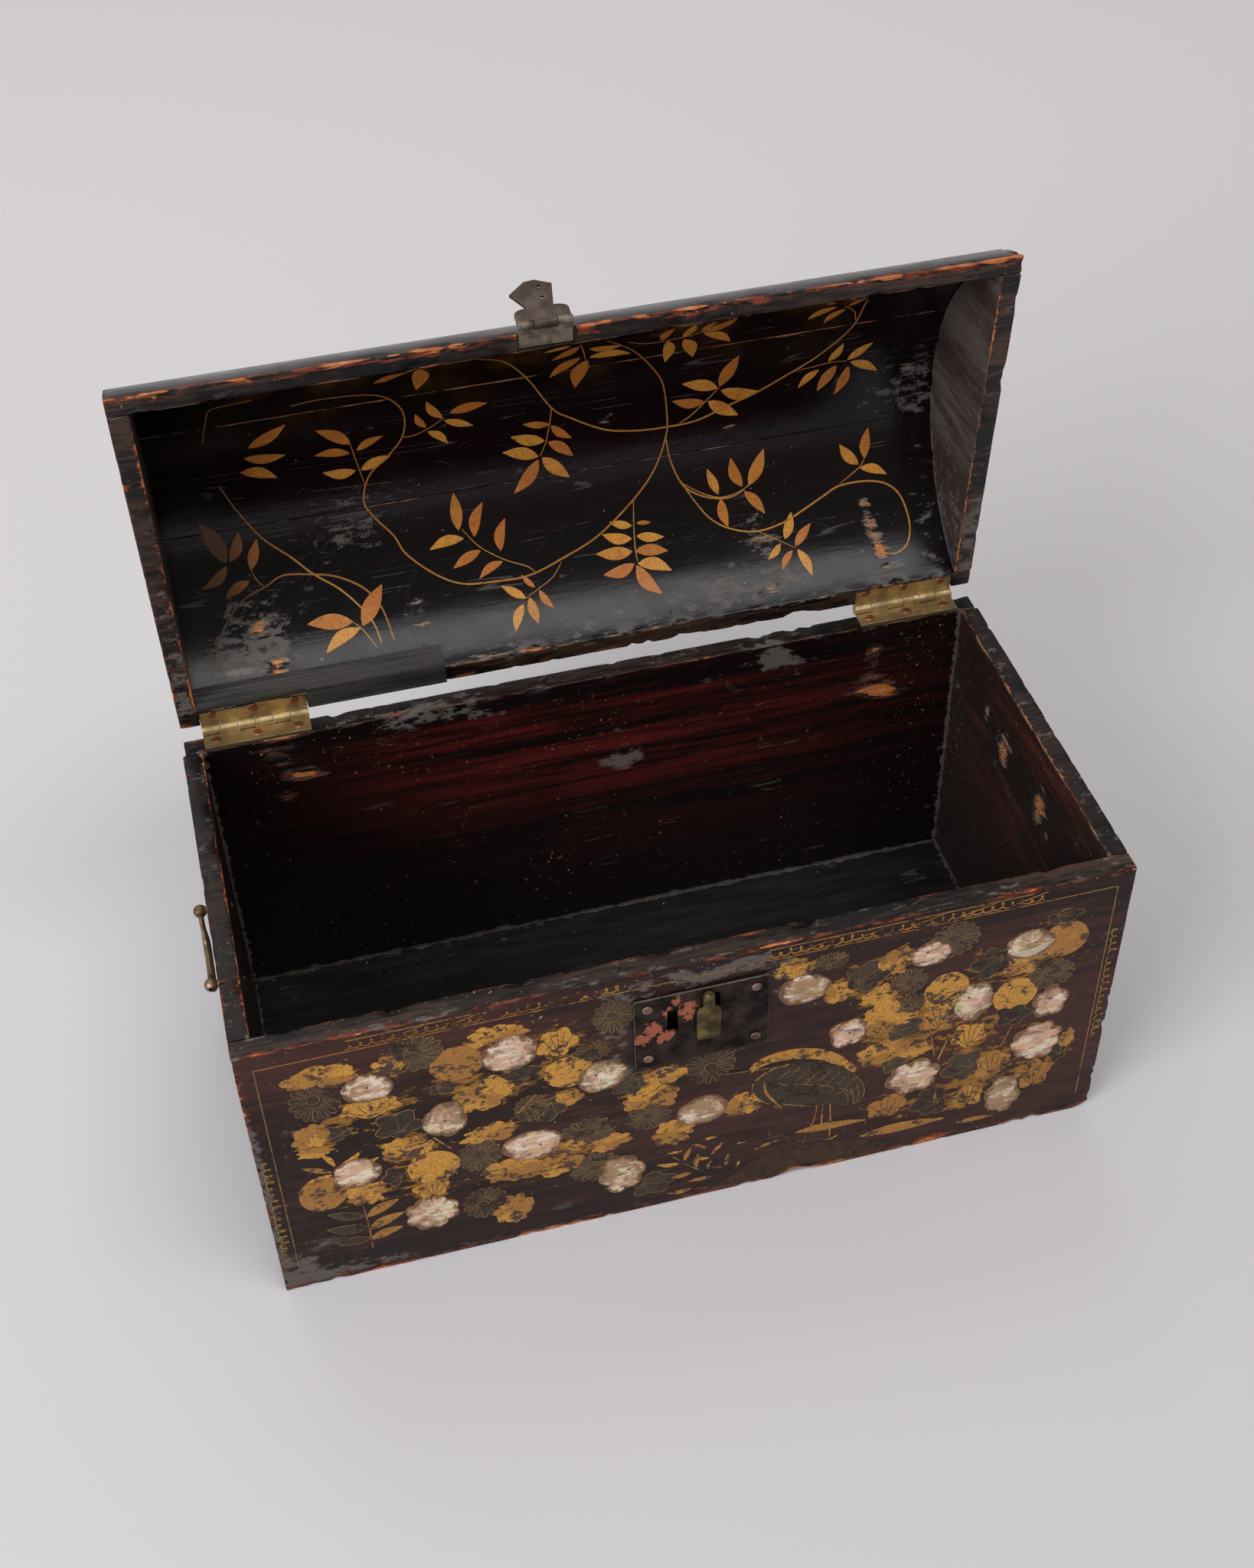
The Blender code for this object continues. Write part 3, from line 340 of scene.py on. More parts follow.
FRONT_LACQUER = lacquer(
    "front_lacquer", (33, 19, 16), (70, 40, 33), (116, 64, 48), gloss=0.30, shine=0.16, scuffs=0.06,
    specks=0.71, haze=(172, 120, 42))
OUTER_LACQUER = lacquer(
    "outer_lacquer", (14, 11, 10), (66, 47, 39), RED_GROUND, gloss=0.30, shine=0.30, scuffs=0.06, specks=0.72,
    bands=60, lines=480)
SHELL_LACQUER = lacquer(
    "shell_lacquer", (16, 12, 11), (40, 28, 24), RED_GROUND, gloss=0.20, shine=0.50, scuffs=0.08, specks=0.73,
    bands=30, lines=330)
LID_LACQUER = lacquer(
    "lid_lacquer", (9, 7, 7), (24, 11, 11), GREY_GROUND, gloss=0.13, shine=0.24, scuffs=0.12, specks=0.735,
    relief=0.35)
RED_LACQUER = lacquer(
    "red_lacquer", (20, 12, 12), (88, 27, 27), (96, 60, 46), gloss=0.26, shine=0.35, scuffs=0.05, specks=0.70,
    grain=FINE_GRAIN, bands=40, lines=420, speck=(196, 136, 92))
END_LACQUER = lacquer(
    "end_lacquer", (42, 33, 31), (118, 58, 50), GREY_GROUND, gloss=0.30, shine=0.4, scuffs=0.08, specks=0.72,
    grain=DEPTH_GRAIN)
# Pale lacquer for the inner faces of the lid's ends: its paleness is a painted sheen
LID_END_SHEEN_LACQUER = lacquer(
    "lid_end_sheen_lacquer", (66, 52, 49), (98, 89, 85), GREY_GROUND, gloss=0.30, shine=0.4, scuffs=0.16,
    specks=0.70, grain=DEPTH_GRAIN, bands=34, lines=260)
FLOOR_LACQUER = lacquer(
    "floor_lacquer", (18, 17, 17), (36, 34, 33), GREY_GROUND, gloss=0.30, shine=0.4, scuffs=0.06, specks=0.73)
GOLD = gilding("gold_leaf", (214, 148, 56), (188, 114, 42), (124, 66, 34), 0.30, 0.40)
OLD_GOLD = gilding("old_gold", (212, 152, 52), (174, 118, 40), (70, 44, 27), 0.44, 0.42)
GOLD_LINE = gilding("gold_line", (196, 142, 60), (156, 104, 44), (58, 36, 27), 0.46, 0.42)
VINE_LINE = gilding("vine_line", (196, 138, 60), (170, 112, 46), (104, 64, 34), 0.30, 0.42)
FINE_LINE = gilding("fine_line", (168, 124, 60), (134, 94, 48), (70, 52, 40), 0.42, 0.45)
DARK_LEAF = gilding("dark_leaf", (78, 67, 54), (62, 52, 43), (48, 32, 27), 0.42, 0.50, 0.15)
MOUND = gilding("mound", (76, 57, 38), (60, 43, 31), (50, 30, 24), 0.42, 0.50, 0.15)
SCRATCH = gilding("scratch", (100, 95, 91), (66, 62, 60), (24, 20, 20), 0.46, 0.50, 0.2)
PEARL = mother_of_pearl()
WHITE_SHELL = gilding("white_shell", (228, 220, 200), (206, 192, 166), (150, 122, 92), 0.20, 0.30)
BRASS = metal("brass", (212, 188, 142), (158, 136, 98), 0.42)
COPPER = metal("copper", (190, 132, 100), (136, 92, 66), 0.38)
TARNISHED = metal("tarnished_brass", (138, 120, 78), (74, 64, 44), 0.40)
BRONZE = metal("bronze", (172, 148, 122), (112, 86, 64), 0.42)
IRON = metal("iron", (116, 102, 95), (88, 76, 70), 0.46)
CORRODED = metal("corroded_iron", (158, 144, 128), (84, 72, 62), 0.55)
PLATE_PATCHES = (
    (-13, 168, 7), (-7, 161, 11), (-25, 150, 11), (-31, 144, 9), (-19, 143, 11), (-16, 160, 9), (-8, 154, 7))
PLATE_IRON = metal(
    "plate_iron", (66, 55, 49), (30, 25, 23), 0.46,
    [((x * MM, FRONT_FACE, z * MM), size * MM) for x, z, size in PLATE_PATCHES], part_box("lock_plate"))
DARK_STEEL = metal("dark_steel", (172, 140, 126), (98, 78, 70), 0.38)
STEEL = metal("steel", (170, 166, 160), (120, 112, 106), 0.34)
GREY_WOOD = grey_wood()


def waves(points, scale, seed):
    """Smooth noise of about -1 to 1 at each point, at so many waves a metre."""
    shift = Vector((7.3, 3.1, 5.7)) * seed
    return np.array([noise.noise(Vector(p) * scale + shift) for p in points])


def soft_step(values, low, high):
    share = np.clip((values - low) / (high - low), 0, 1)
    return share * share * (3 - 2 * share)


def spots(places, marks):
    """Soft spots on points in millimetres: each is a centre, its reach along each axis and its strength."""
    total = np.zeros(len(places))
    for centre, reach, strength in marks:
        total += strength * np.exp(-np.sum(((places - np.array(centre)) / np.array(reach)) ** 2, axis=1))
    return total


def face_spots(axis, level, depth, rows):
    """Spots on a face at a level along an axis. A row holds a place on the other two axes, the reach along
    them and a strength, and a depth of its own where it has one."""
    marks = []
    for one, two, wide, tall, strength, *own in rows:
        centre = [one, two]
        reach = [wide, tall]
        centre.insert(axis, level)
        reach.insert(axis, own[0] if own else depth)
        marks.append((centre, reach, strength))
    return marks


# Worn boards
GRID_STEP = 0.003
CHIP_CORE = 0.005
CHIP_REACH = 0.0024
CHIP_WEAR = 0.55
SIDES = {"left": (0, 0), "right": (0, 1), "front": (1, 0), "back": (1, 1), "foot": (2, 0), "top": (2, 1)}


def grid_lines(length, arris):
    """Where the grid lines lie along one side of a board, close together near its arrises."""
    near = [share * arris for share in (0, 0.35, 0.8, 1.4, 2.4)]
    reach = length - 2 * near[-1]
    count = max(1, round(reach / GRID_STEP))
    middle = [near[-1] + reach * i / count for i in range(1, count)]
    return near + middle + [length - place for place in reversed(near)]


def box_shell(sides):
    """Points and faces of a box from the grid lines along its three sides."""
    last = [len(side) - 1 for side in sides]
    numbers = {}
    faces = []
    for axis in range(3):
        one = (axis + 1) % 3
        two = (axis + 2) % 3
        for end in (0, last[axis]):
            for i in range(last[one]):
                for j in range(last[two]):
                    face = []
                    for a, b in ((i, j), (i + 1, j), (i + 1, j + 1), (i, j + 1)):
                        key = [end, end, end]
                        key[one] = a
                        key[two] = b
                        face.append(numbers.setdefault(tuple(key), len(numbers)))
                    faces.append(face if end else face[::-1])
    points = [[side[k] for side, k in zip(sides, key)] for key in numbers]
    return np.array(points), faces


def unit(rows):
    return rows / np.linalg.norm(rows, axis=1)[:, None]


def worn_box(size, arris, chip, seed, ease=None):
    """A box from the origin with rounded, chipped arrises. Gives its points and faces, and how deep each
    point is in a chip. Ease scales the rounding and the chips."""
    size = np.array(size)
    points, faces = box_shell([grid_lines(side, arris) for side in size])
    edge = np.sort(np.minimum(points, size - points), axis=1)[:, 1]
    keep = ease(points) if ease else np.ones(len(points))
    radius = (arris * keep * (0.80 + 0.40 * waves(points, 60, seed)))[:, None]
    inner = np.clip(points, radius, size - radius)
    core = np.minimum(CHIP_CORE, 0.45 * size)
    outward = unit(points - np.clip(points, core, size - core))
    bite = soft_step(waves(points, 95, seed + 1) + 0.6 * waves(points, 230, seed + 2), 0.15, 0.80)
    bite = bite * keep * np.exp(-(edge / CHIP_REACH) ** 2)
    points = inner + unit(points - inner) * radius - outward * chip * bite[:, None]
    return points, faces, bite


def arris_wear(points, size, arrises, seed):
    """Wear along arrises, each named by the two sides that meet there, with a strength and a reach in mm."""
    total = np.zeros(len(points))
    for one, two, strength, reach in arrises:
        away = np.zeros(len(points))
        for side in (one, two):
            axis, end = SIDES[side]
            gap = size[axis] - points[:, axis] if end else points[:, axis]
            away += np.maximum(gap, 0) ** 2
        total = np.maximum(total, strength * np.exp(-np.sqrt(away) / (reach * MM)))
    return total * (0.90 + 0.55 * waves(points, 28, seed) + 0.35 * waves(points, 90, seed + 1))


def put(name, data):
    """A new object in the scene."""
    made = bpy.data.objects.new(name, data)
    bpy.context.scene.collection.objects.link(made)
    return made


def new_piece(name, points, faces, looks, marks):
    """A mesh object with its materials and the numbers that they read at each point."""
    mesh = bpy.data.meshes.new(name)
    mesh.from_pydata([tuple(p) for p in points], [], faces)
    for key, values in marks.items():
        held = mesh.attributes.new(key, "FLOAT", "POINT")
        held.data.foreach_set("value", np.asarray(values, np.float32))
    work = bmesh.new()
    work.from_mesh(mesh)
    bmesh.ops.recalc_face_normals(work, faces=work.faces)
    work.to_mesh(mesh)
    work.free()
    for look in looks:
        mesh.materials.append(look)
    return put(name, mesh)


SHARP_ANGLE = math.radians(38)
FACING = 0.6


def smooth(made):
    made.data.shade_smooth()
    made.data.set_sharp_from_angle(angle=SHARP_ANGLE)
    return made


def seat(made, body, slot, *nodes):
    """Puts a finished piece on its body, in the place of its CAD nodes, which it hides. Its slot is not used.
    """
    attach(made, body)
    if nodes:
        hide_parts(*nodes)
    return made


def carve(made, blocks, place=Matrix.Identity(4)):
    """Cuts boxes, each given by two corners, out of a piece."""
    work = bmesh.new()
    for low, high in blocks:
        middle = (Vector(low) + Vector(high)) / 2
        size = Matrix.Diagonal(Vector(high) - Vector(low)).to_4x4()
        bmesh.ops.create_cube(work, size=1, matrix=place @ Matrix.Translation(middle) @ size)
    mesh = bpy.data.meshes.new("cutter")
    work.to_mesh(mesh)
    work.free()
    tool = put("cutter", mesh)
    change = made.modifiers.new("cut", "BOOLEAN")
    change.object = tool
    graph = bpy.context.evaluated_depsgraph_get()
    result = bpy.data.meshes.new_from_object(made.evaluated_get(graph))
    made.modifiers.clear()
    made.data = result
    bpy.data.objects.remove(tool)
    return made


def face_side(made, direction, index):
    """Gives the faces that look in one direction another of the piece's materials."""
    towards = Vector(direction)
    for face in made.data.polygons:
        if face.normal.dot(towards) > FACING:
            face.material_index = index


# Boards of the carcase. Their faces lie at these levels, in whole millimetres.
FRONT_LEVEL = -112
BACK_LEVEL = 101
END_LEVEL = 214
BOARD_ARRIS = 0.0011
CUT_ROOM = 0.01
RIM_SKIN = 0.0007


def worn_board(
        node, looks, inward, chip, arrises, wear_spots=(), dust_and_sheen_spots=(), warm_spots=None, gold_spots=(),
        extra_dust_and_sheen=None, shape=None, seed=1):
    """A board in the place of its CAD node. Its inward side has the second look."""
    low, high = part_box(node)
    size = np.array(high - low)
    points, faces, bite = worn_box(size, BOARD_ARRIS, chip, seed)
    wear = np.maximum(arris_wear(points, size, arrises, seed + 3), CHIP_WEAR * bite)
    points = points + np.array(low)
    if shape:
        points[:, 2] += shape(points)
    places = points / MM
    wear = wear + spots(places, wear_spots)
    dust_and_sheen = spots(places, dust_and_sheen_spots)
    if extra_dust_and_sheen:
        dust_and_sheen += extra_dust_and_sheen(points)
    warm = np.ones(len(points)) if warm_spots is None else spots(places, warm_spots)
    marks = {"wear": wear, "dust_and_sheen": dust_and_sheen, "warm": warm, "gold": spots(places, gold_spots)}
    made = new_piece(node + "_worn", points, faces, looks, marks)
    if inward:
        face_side(made, inward, 1)
    return made


DUST_LINE = 0.0010
DUST_SPREAD = 0.010
DUST_ROOM = 0.002


def corner_dust(points):
    """Dust that lies along the floor and in the corners of the box."""
    low = np.array((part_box("left_end_board")[1].x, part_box("front_board")[1].y, FLOOR_TOP))
    high = np.array((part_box("right_end_board")[0].x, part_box("back_board")[0].y, BODY_TOP))
    away = np.minimum(np.abs(points - low), np.abs(high - points))
    away[:, 2] = np.abs(points[:, 2] - FLOOR_TOP)
    ordered = np.sort(away, axis=1)
    inside = np.all((points > low - DUST_ROOM) & (points < high + DUST_ROOM), axis=1)
    line = 1.05 * np.exp(-ordered[:, 1] / DUST_LINE) * inside
    return line + 0.20 * np.exp(-ordered[:, 1] / DUST_SPREAD) * inside


def rim_dust_and_sheen(points):
    """Grey on top of the rim, partly handling wear and partly painted sheen, with the dust of the corners
    below it.
    """
    # The share on the top faces is partly painted sheen
    return 0.26 * (points[:, 2] > BODY_TOP - RIM_SKIN) + corner_dust(points)


FOOT_CHIP_X = 0.054
FOOT_CHIP_HALF = 0.013
FOOT_CHIP_HEIGHT = 0.0042
FOOT_CORNER = 0.0045
FOOT_CORNER_REACH = 0.008
FOOT_WAVE = 0.0007
FOOT_REACH = 0.030


def foot_profile(points):
    """How far the front's foot is worn up: a chip near its middle, a lost corner and small waves."""
    x = points[:, 0]
    chip = FOOT_CHIP_HEIGHT * np.clip(1 - np.abs(x - FOOT_CHIP_X) / FOOT_CHIP_HALF, 0, 1) ** 0.8
    corner = FOOT_CORNER * np.clip(1 - (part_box("front_board")[1].x - x) / FOOT_CORNER_REACH, 0, 1)
    wavy = FOOT_WAVE * np.clip(waves(np.stack((x, 0 * x, 0 * x), 1), 45, 3), 0, 1)
    return np.maximum(np.maximum(chip, corner), wavy) * np.clip(1 - points[:, 2] / FOOT_REACH, 0, 1)


def gold_haze():
    """Gold powder about the front's leaves."""
    strong = [(x, z, 0.66 * wide, 0.70 * tall, 0.50) for x, z, wide, tall in GOLD_CLUMPS + GOLD_LEAVES]
    weak = [(x, z, 0.7 * wide, 0.7 * tall, 0.28) for x, z, wide, tall in GOLD_DISCS + DARK_LEAVES]
    return face_spots(1, FRONT_LEVEL, 3, strong + weak)


def make_front():
    front = worn_board(
        "front_board", [FRONT_LACQUER, FLOOR_LACQUER, OUTER_LACQUER], inward=(0, 1, 0), chip=0.0017,
        arrises=[
            ("front", "top", 0.74, 2.2), ("back", "top", 1.02, 1.0), ("front", "foot", 0.94, 5.0),
            ("front", "left", 0.80, 3.2), ("front", "right", 0.55, 2.4), ("top", "left", 0.7, 2),
            ("top", "right", 0.7, 2)],
        wear_spots=face_spots(1, FRONT_LEVEL, 3, [
            (-40, 178, 9, 5, 0.16), (0, 183, 30, 5, 0.16), (-40, 140, 5, 24, 0.14),
            (-214, 30, 6, 8, 0.34), (54, 5, 13, 3, 0.4, 4), (190, 190, 40, 2, 0.3, 8),
            (-120, 4, 60, 4, 0.2), (120, 3, 70, 4, 0.2)]),
        dust_and_sheen_spots=face_spots(1, FRONT_LEVEL, 3, [
            (-206, 132, 12, 14, 0.3), (0, 182, 46, 8, 0.54), (-224, 90, 4, 100, 0.75, 5),
            (-44, 150, 9, 30, 0.48), (42, 172, 10, 14, 0.44), (-39, 171, 5, 6, 0.45),
            (24, 184, 12, 3, 0.45), (-42, 124, 6, 8, 0.5), (-150, 190, 60, 3, 0.3), (-190, 6, 50, 8, 0.5),
            (-60, 4, 140, 6, 0.34), (-204, 26, 26, 26, 0.3), (0, 152, 62, 44, 0.2),
            (-214, 20, 9, 16, 0.35), (218, 60, 5, 50, 0.3), (0, 118, 40, 5, 0.36)]),
        warm_spots=face_spots(1, FRONT_LEVEL, 900, [
            (0, 100, 900, 900, 1.0), (0, 166, 56, 24, -0.9, 20)]),
        extra_dust_and_sheen=rim_dust_and_sheen, shape=foot_profile, gold_spots=gold_haze(), seed=2)
    face_side(front, (0, 0, 1), 2)
    case_low, case_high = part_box("lock_case")
    room = Vector((GAP, GAP, GAP))
    carve(front, [((case_low.x - GAP, FRONT_FACE - CUT_ROOM, case_low.z - GAP), case_high + room)])
    seat(smooth(front), "carcase", "black_lacquer", "front_board")


def make_back():
    back = worn_board(
        "back_board", [OUTER_LACQUER, RED_LACQUER], inward=(0, -1, 0), chip=0.0022,
        arrises=[("front", "top", 0.74, 1.4), ("back", "top", 0.70, 2), ("back", "left", 0.6, 2),
                 ("back", "right", 0.6, 2), ("back", "foot", 0.7, 2.5)],
        wear_spots=face_spots(1, BACK_LEVEL, 4, [
            (-174, 180, 13, 11, 0.7), (-163, 161, 13, 6, 0.95), (-175, 146, 7, 7, 0.62),
            (166, 145, 17, 8, 1.0), (172, 139, 9, 5, 0.6), (164, 172, 7, 18, 0.8), (78, 168, 3, 5, 0.85),
            (146, 150, 8, 8, 0.3), (98, 122, 2, 4, 0.7), (40, 158, 3, 3, 0.6), (20, 146, 4, 2, 0.55),
            (66, 112, 3, 3, 0.6), (-30, 168, 4, 2, 0.5), (84, 160, 3, 6, 0.7)]),
        dust_and_sheen_spots=face_spots(1, BACK_LEVEL, 5, [
            (16, 127, 13, 8, 0.95), (103, 182, 15, 11, 0.85), (120, 172, 8, 8, 0.5),
            (-93, 188, 26, 6, 0.65), (-60, 178, 26, 10, 0.42), (-113, 180, 16, 9, 0.45),
            (-10, 180, 20, 6, 0.35)]),
        warm_spots=face_spots(1, BACK_LEVEL, 30, [
            (50, 150, 140, 62, 1.0), (-60, 150, 90, 40, 0.5)]),
        extra_dust_and_sheen=rim_dust_and_sheen, seed=5)
    seat(smooth(back), "carcase", "red_black_lacquer", "back_board")


END_WEAR = {
    -1: face_spots(0, -220, 5, [(-60, 190, 40, 3, 0.20)]),
    1: face_spots(0, END_LEVEL, 4, [
        (25, 152, 7, 13, 1.0), (-24, 152, 7, 14, 1.0), (5, 150, 26, 20, 0.20), (51, 157, 3, 6, 0.7),
        (-36, 142, 4, 10, 0.6)])}


def make_ends():
    for node, side in (("left_end_board", -1), ("right_end_board", 1)):
        inner, outer = ("right", "left") if side < 0 else ("left", "right")
        end = worn_board(
            node, [OUTER_LACQUER, END_LACQUER], inward=(-side, 0, 0), chip=0.0012,
            arrises=[(inner, "top", 1.15, 1.3), (outer, "top", 0.62, 2.0), (outer, "foot", 0.7, 2.5)],
            wear_spots=END_WEAR[side],
            dust_and_sheen_spots=face_spots(0, side * END_LEVEL, 4, [
                (30, 146, 12, 18, 0.40), (-26, 146, 14, 20, 0.40), (84, 120, 14, 60, 0.30)]),
            warm_spots=face_spots(0, side * 215, 20, [(0, 160, 80, 50, 0.9)]),
            extra_dust_and_sheen=rim_dust_and_sheen, seed=8 + side)
        seat(smooth(end), "carcase", "red_black_lacquer", node)


def make_boards():
    make_front()
    make_back()
    make_ends()
    floor = worn_board(
        "bottom_board", [FLOOR_LACQUER], inward=None, chip=0.0002, arrises=[], extra_dust_and_sheen=corner_dust, seed=12)
    seat(smooth(floor), "carcase", "red_black_lacquer", "bottom_board")


# Lid
def rim_angle(radius):
    """Angle, from the back, at which an arc of the vault meets the plane of the rim."""
    return np.arcsin((RIM_Z - VAULT_Z) / radius)


def on_vault(x, along, lift):
    """A place inside the lid: along runs over the vault from the back rim, and lift is off the surface."""
    radius = LID_INNER - lift * MM
    angle = rim_angle(LID_INNER) + along * MM / LID_INNER
    y = VAULT_Y + radius * math.cos(angle)
    z = VAULT_Z + radius * math.sin(angle)
    return LID_PLACE @ Vector((x * MM, y, z))


def open_lid(points):
    """Points of the closed lid, turned to where the lid stands open."""
    turned = np.array(LID_PLACE)
    return points @ turned[:3, :3].T + turned[:3, 3]


STAVE_ARRIS = 0.0010
STAVE_CHIP = 0.0018
SEAM_EASE = 0.12
SEAM_REACH = 0.004
FACE_SKIN = 0.0004
FAR = 1.0


def make_stave(node, start, end, arrises, wear_spots, dust_and_sheen_spots, seed):
    """A stave bent from a worn board, from one seam to the next, or to the lid's rim where it has no seam.
    Its spots are given along X, over the vault and through the wall."""
    first = rim_angle(LID_RADIUS) if start is None else start
    last = math.pi - rim_angle(LID_RADIUS) if end is None else end
    length = (last - first) * LID_RADIUS
    size = np.array((LID_WIDTH, length, LID_WALL))

    def gap(points, rims):
        """How far points are from the stave's sides at the lid's rim, or else from those at a seam."""
        back = points[:, 1] if (start is None) == rims else FAR
        front = length - points[:, 1] if (end is None) == rims else FAR
        return np.minimum(back, front)

    points, faces, bite = worn_box(
        size, STAVE_ARRIS, STAVE_CHIP, seed, lambda p: np.where(gap(p, False) < SEAM_REACH, SEAM_EASE, 1.0))
    radius = LID_INNER + points[:, 2]
    low = rim_angle(radius) if start is None else start + GAP / 2 / radius
    high = math.pi - rim_angle(radius) if end is None else end - GAP / 2 / radius
    angle = low + (high - low) * points[:, 1] / length
    along = (angle - rim_angle(LID_INNER)) * LID_INNER
    flat = np.stack((points[:, 0] - LID_WIDTH / 2, along, points[:, 2]), 1)
    closed = np.stack((flat[:, 0], VAULT_Y + radius * np.cos(angle), VAULT_Z + radius * np.sin(angle)), 1)
    wear = np.maximum(arris_wear(points, size, arrises, seed + 3), CHIP_WEAR * bite)
    wear = wear + spots(flat / MM, wear_spots)
    dust_and_sheen = spots(flat / MM, dust_and_sheen_spots) + 0.10 * (gap(points, True) < RIM_SKIN)
    made = new_piece(
        node + "_worn", open_lid(closed), faces, [OUTER_LACQUER, LID_LACQUER, SHELL_LACQUER],
        {"wear": wear, "dust_and_sheen": dust_and_sheen, "warm": np.ones(len(wear))})
    depth = np.mean(points[np.array(faces)][:, :, 2], axis=1)
    side = np.where(depth < FACE_SKIN, 1, np.where(depth > LID_WALL - FACE_SKIN, 2, 0))
    made.data.polygons.foreach_set("material_index", side.astype(np.int32))
    return made


LID_END_ARRIS = 0.0009
LID_END_CHIP = 0.0012
LID_DUST_LINE = 0.0016


def make_lid_end(node, side):
    """A board that fills the end of the vault, with its top cut to the arc."""
    radius = LID_INNER - GAP
    half = radius * math.cos(rim_angle(radius)) - GAP
    height = VAULT_Z + radius - RIM_Z
    size = np.array((LID_END_THICKNESS, 2 * half, height))
    points, faces, bite = worn_box(size, LID_END_ARRIS, LID_END_CHIP, 20 + side)
    y = points[:, 1] - half
    rise = VAULT_Z + np.sqrt(radius ** 2 - y ** 2) - RIM_Z
    inner = side * (LID_WIDTH / 2 - LID_END_THICKNESS)
    up = points[:, 2] * rise / height
    closed = np.stack((inner + side * points[:, 0], VAULT_Y + y, RIM_Z + up), 1)
    wear = arris_wear(points, size, [("left", "foot", 1.0, 1.7), ("right", "foot", 0.72, 2.0)], 4)
    wear = np.maximum(wear, 0.5 * bite)
    dust_and_sheen = 0.75 * np.exp(-(rise - up) / LID_DUST_LINE) + 0.08 * (points[:, 2] < RIM_SKIN)
    # Painted sheen: grey over the whole inner face, growing towards the hinge, which is the lower end of the
    # open lid
    dust_and_sheen += 0.12 + 0.34 * soft_step(y, -0.03, 0.09)
    made = new_piece(
        node + "_worn", open_lid(closed), faces, [OUTER_LACQUER, LID_END_SHEEN_LACQUER],
        {"wear": wear, "dust_and_sheen": dust_and_sheen, "warm": np.ones(len(wear))})
    face_side(made, (-side, 0, 0), 1)
    seat(smooth(made), "lid", "black_lacquer", node)


def make_back_stave():
    """The stave at the back, with rebates for the hinges."""
    stave = make_stave(
        "lid_back_stave", None, BACK_SEAM,
        arrises=[("front", "foot", 0.86, 1.0), ("front", "top", 0.7, 2.5), ("left", "top", 0.6, 2),
                 ("right", "top", 0.6, 2), ("back", "foot", 0.85, 0.6)],
        wear_spots=face_spots(2, 0, 3, [
            (-173, 38, 7, 8, 0.8), (-171, 36, 13, 12, 0.22), (-166, 16, 7, 7, 0.8),
            (-166, 16, 12, 9, 0.2), (109, 10, 10, 7, 0.48, 4), (107, 42, 9, 9, 0.6),
            (-88, 33, 10, 13, 0.55), (171, 46, 4, 6, 1.1), (175, 21, 5, 10, 1.05), (172, 34, 5, 5, 0.8),
            (50, 8, 4, 3, 0.6), (-40, 2, 40, 2, 0.5)]),
        dust_and_sheen_spots=face_spots(2, 0, 4, [
            (-170, 36, 26, 26, 0.55), (-196, 20, 26, 26, 0.3), (-60, 6, 160, 12, 0.35),
            # The spot at 60 across and 24 over the vault is a painted sheen near the back rim
            (110, 12, 40, 10, 0.45), (60, 24, 90, 20, 0.22), (-118, 82, 34, 14, 0.5),
            (107, 44, 16, 16, 0.45), (206, 40, 8, 60, 0.4)]),
        seed=31)
    rebates = []
    for node in ("left_hinge_lid_leaf", "right_hinge_lid_leaf"):
        low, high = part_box(node)
        rebates.append((
            (low.x - GAP, -HINGE_REBATE_DEPTH - GAP, RIM_Z - LID_WALL),
            (high.x + GAP, LID_WALL, HINGE_REBATE_HEIGHT + GAP)))
    return carve(stave, rebates, LID_PLACE)


def make_crown_stave():
    """The stave between the two seams."""
    return make_stave(
        "lid_crown_stave", BACK_SEAM, FRONT_SEAM,
        arrises=[("left", "top", 0.6, 2), ("right", "top", 0.6, 2), ("back", "foot", 1.10, 0.8)],
        wear_spots=face_spots(2, 0, 4, [
            (182, 98, 14, 5, 0.45), (203, 126, 9, 6, 0.55), (96, 104, 4, 4, 0.55), (28, 122, 5, 5, 0.42),
            (-70, 110, 3, 3, 0.5)]),
        dust_and_sheen_spots=face_spots(2, 0, 4, [
            (-112, 100, 40, 8, 0.45), (190, 112, 26, 22, 0.4), (30, 124, 14, 10, 0.25),
            (206, 110, 8, 40, 0.4)]),
        seed=36)


def make_front_stave():
    """The stave at the front, with a recess for the hasp's leaf."""
    stave = make_stave(
        "lid_front_stave", FRONT_SEAM, None,
        arrises=[("back", "top", 1.08, 4.2), ("back", "foot", 0.88, 1.1), ("left", "back", 0.85, 3),
                 ("right", "back", 0.85, 3), ("left", "top", 0.7, 2.5), ("right", "top", 0.7, 2.5)],
        wear_spots=face_spots(2, 0, 4, [
            (197, 148, 12, 13, 0.62), (150, 180, 5, 4, 0.4)]),
        dust_and_sheen_spots=face_spots(2, 0, 4, [
            (195, 150, 24, 24, 0.4)]),
        seed=41)
    low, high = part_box("hasp_leaf")
    recess = (
        (low.x - GAP, LID_FRONT_Y - LID_WALL, RIM_Z - LID_WALL),
        (high.x + GAP, LID_FRONT_Y + HASP_RECESS_DEPTH + GAP, RIM_Z + HASP_RECESS_HEIGHT + GAP))
    return carve(stave, [recess], LID_PLACE)


def make_lid():
    staves = (
        ("lid_back_stave", make_back_stave()), ("lid_crown_stave", make_crown_stave()),
        ("lid_front_stave", make_front_stave()))
    for node, stave in staves:
        seat(smooth(stave), "lid", "black_lacquer", node)
    make_lid_end("lid_left_end", -1)
    make_lid_end("lid_right_end", 1)


# Ornament
def on_front(x, z, lift):
    """A place on the front: across, up and off the surface."""
    return Vector((x * MM, FRONT_FACE - lift * MM, z * MM))


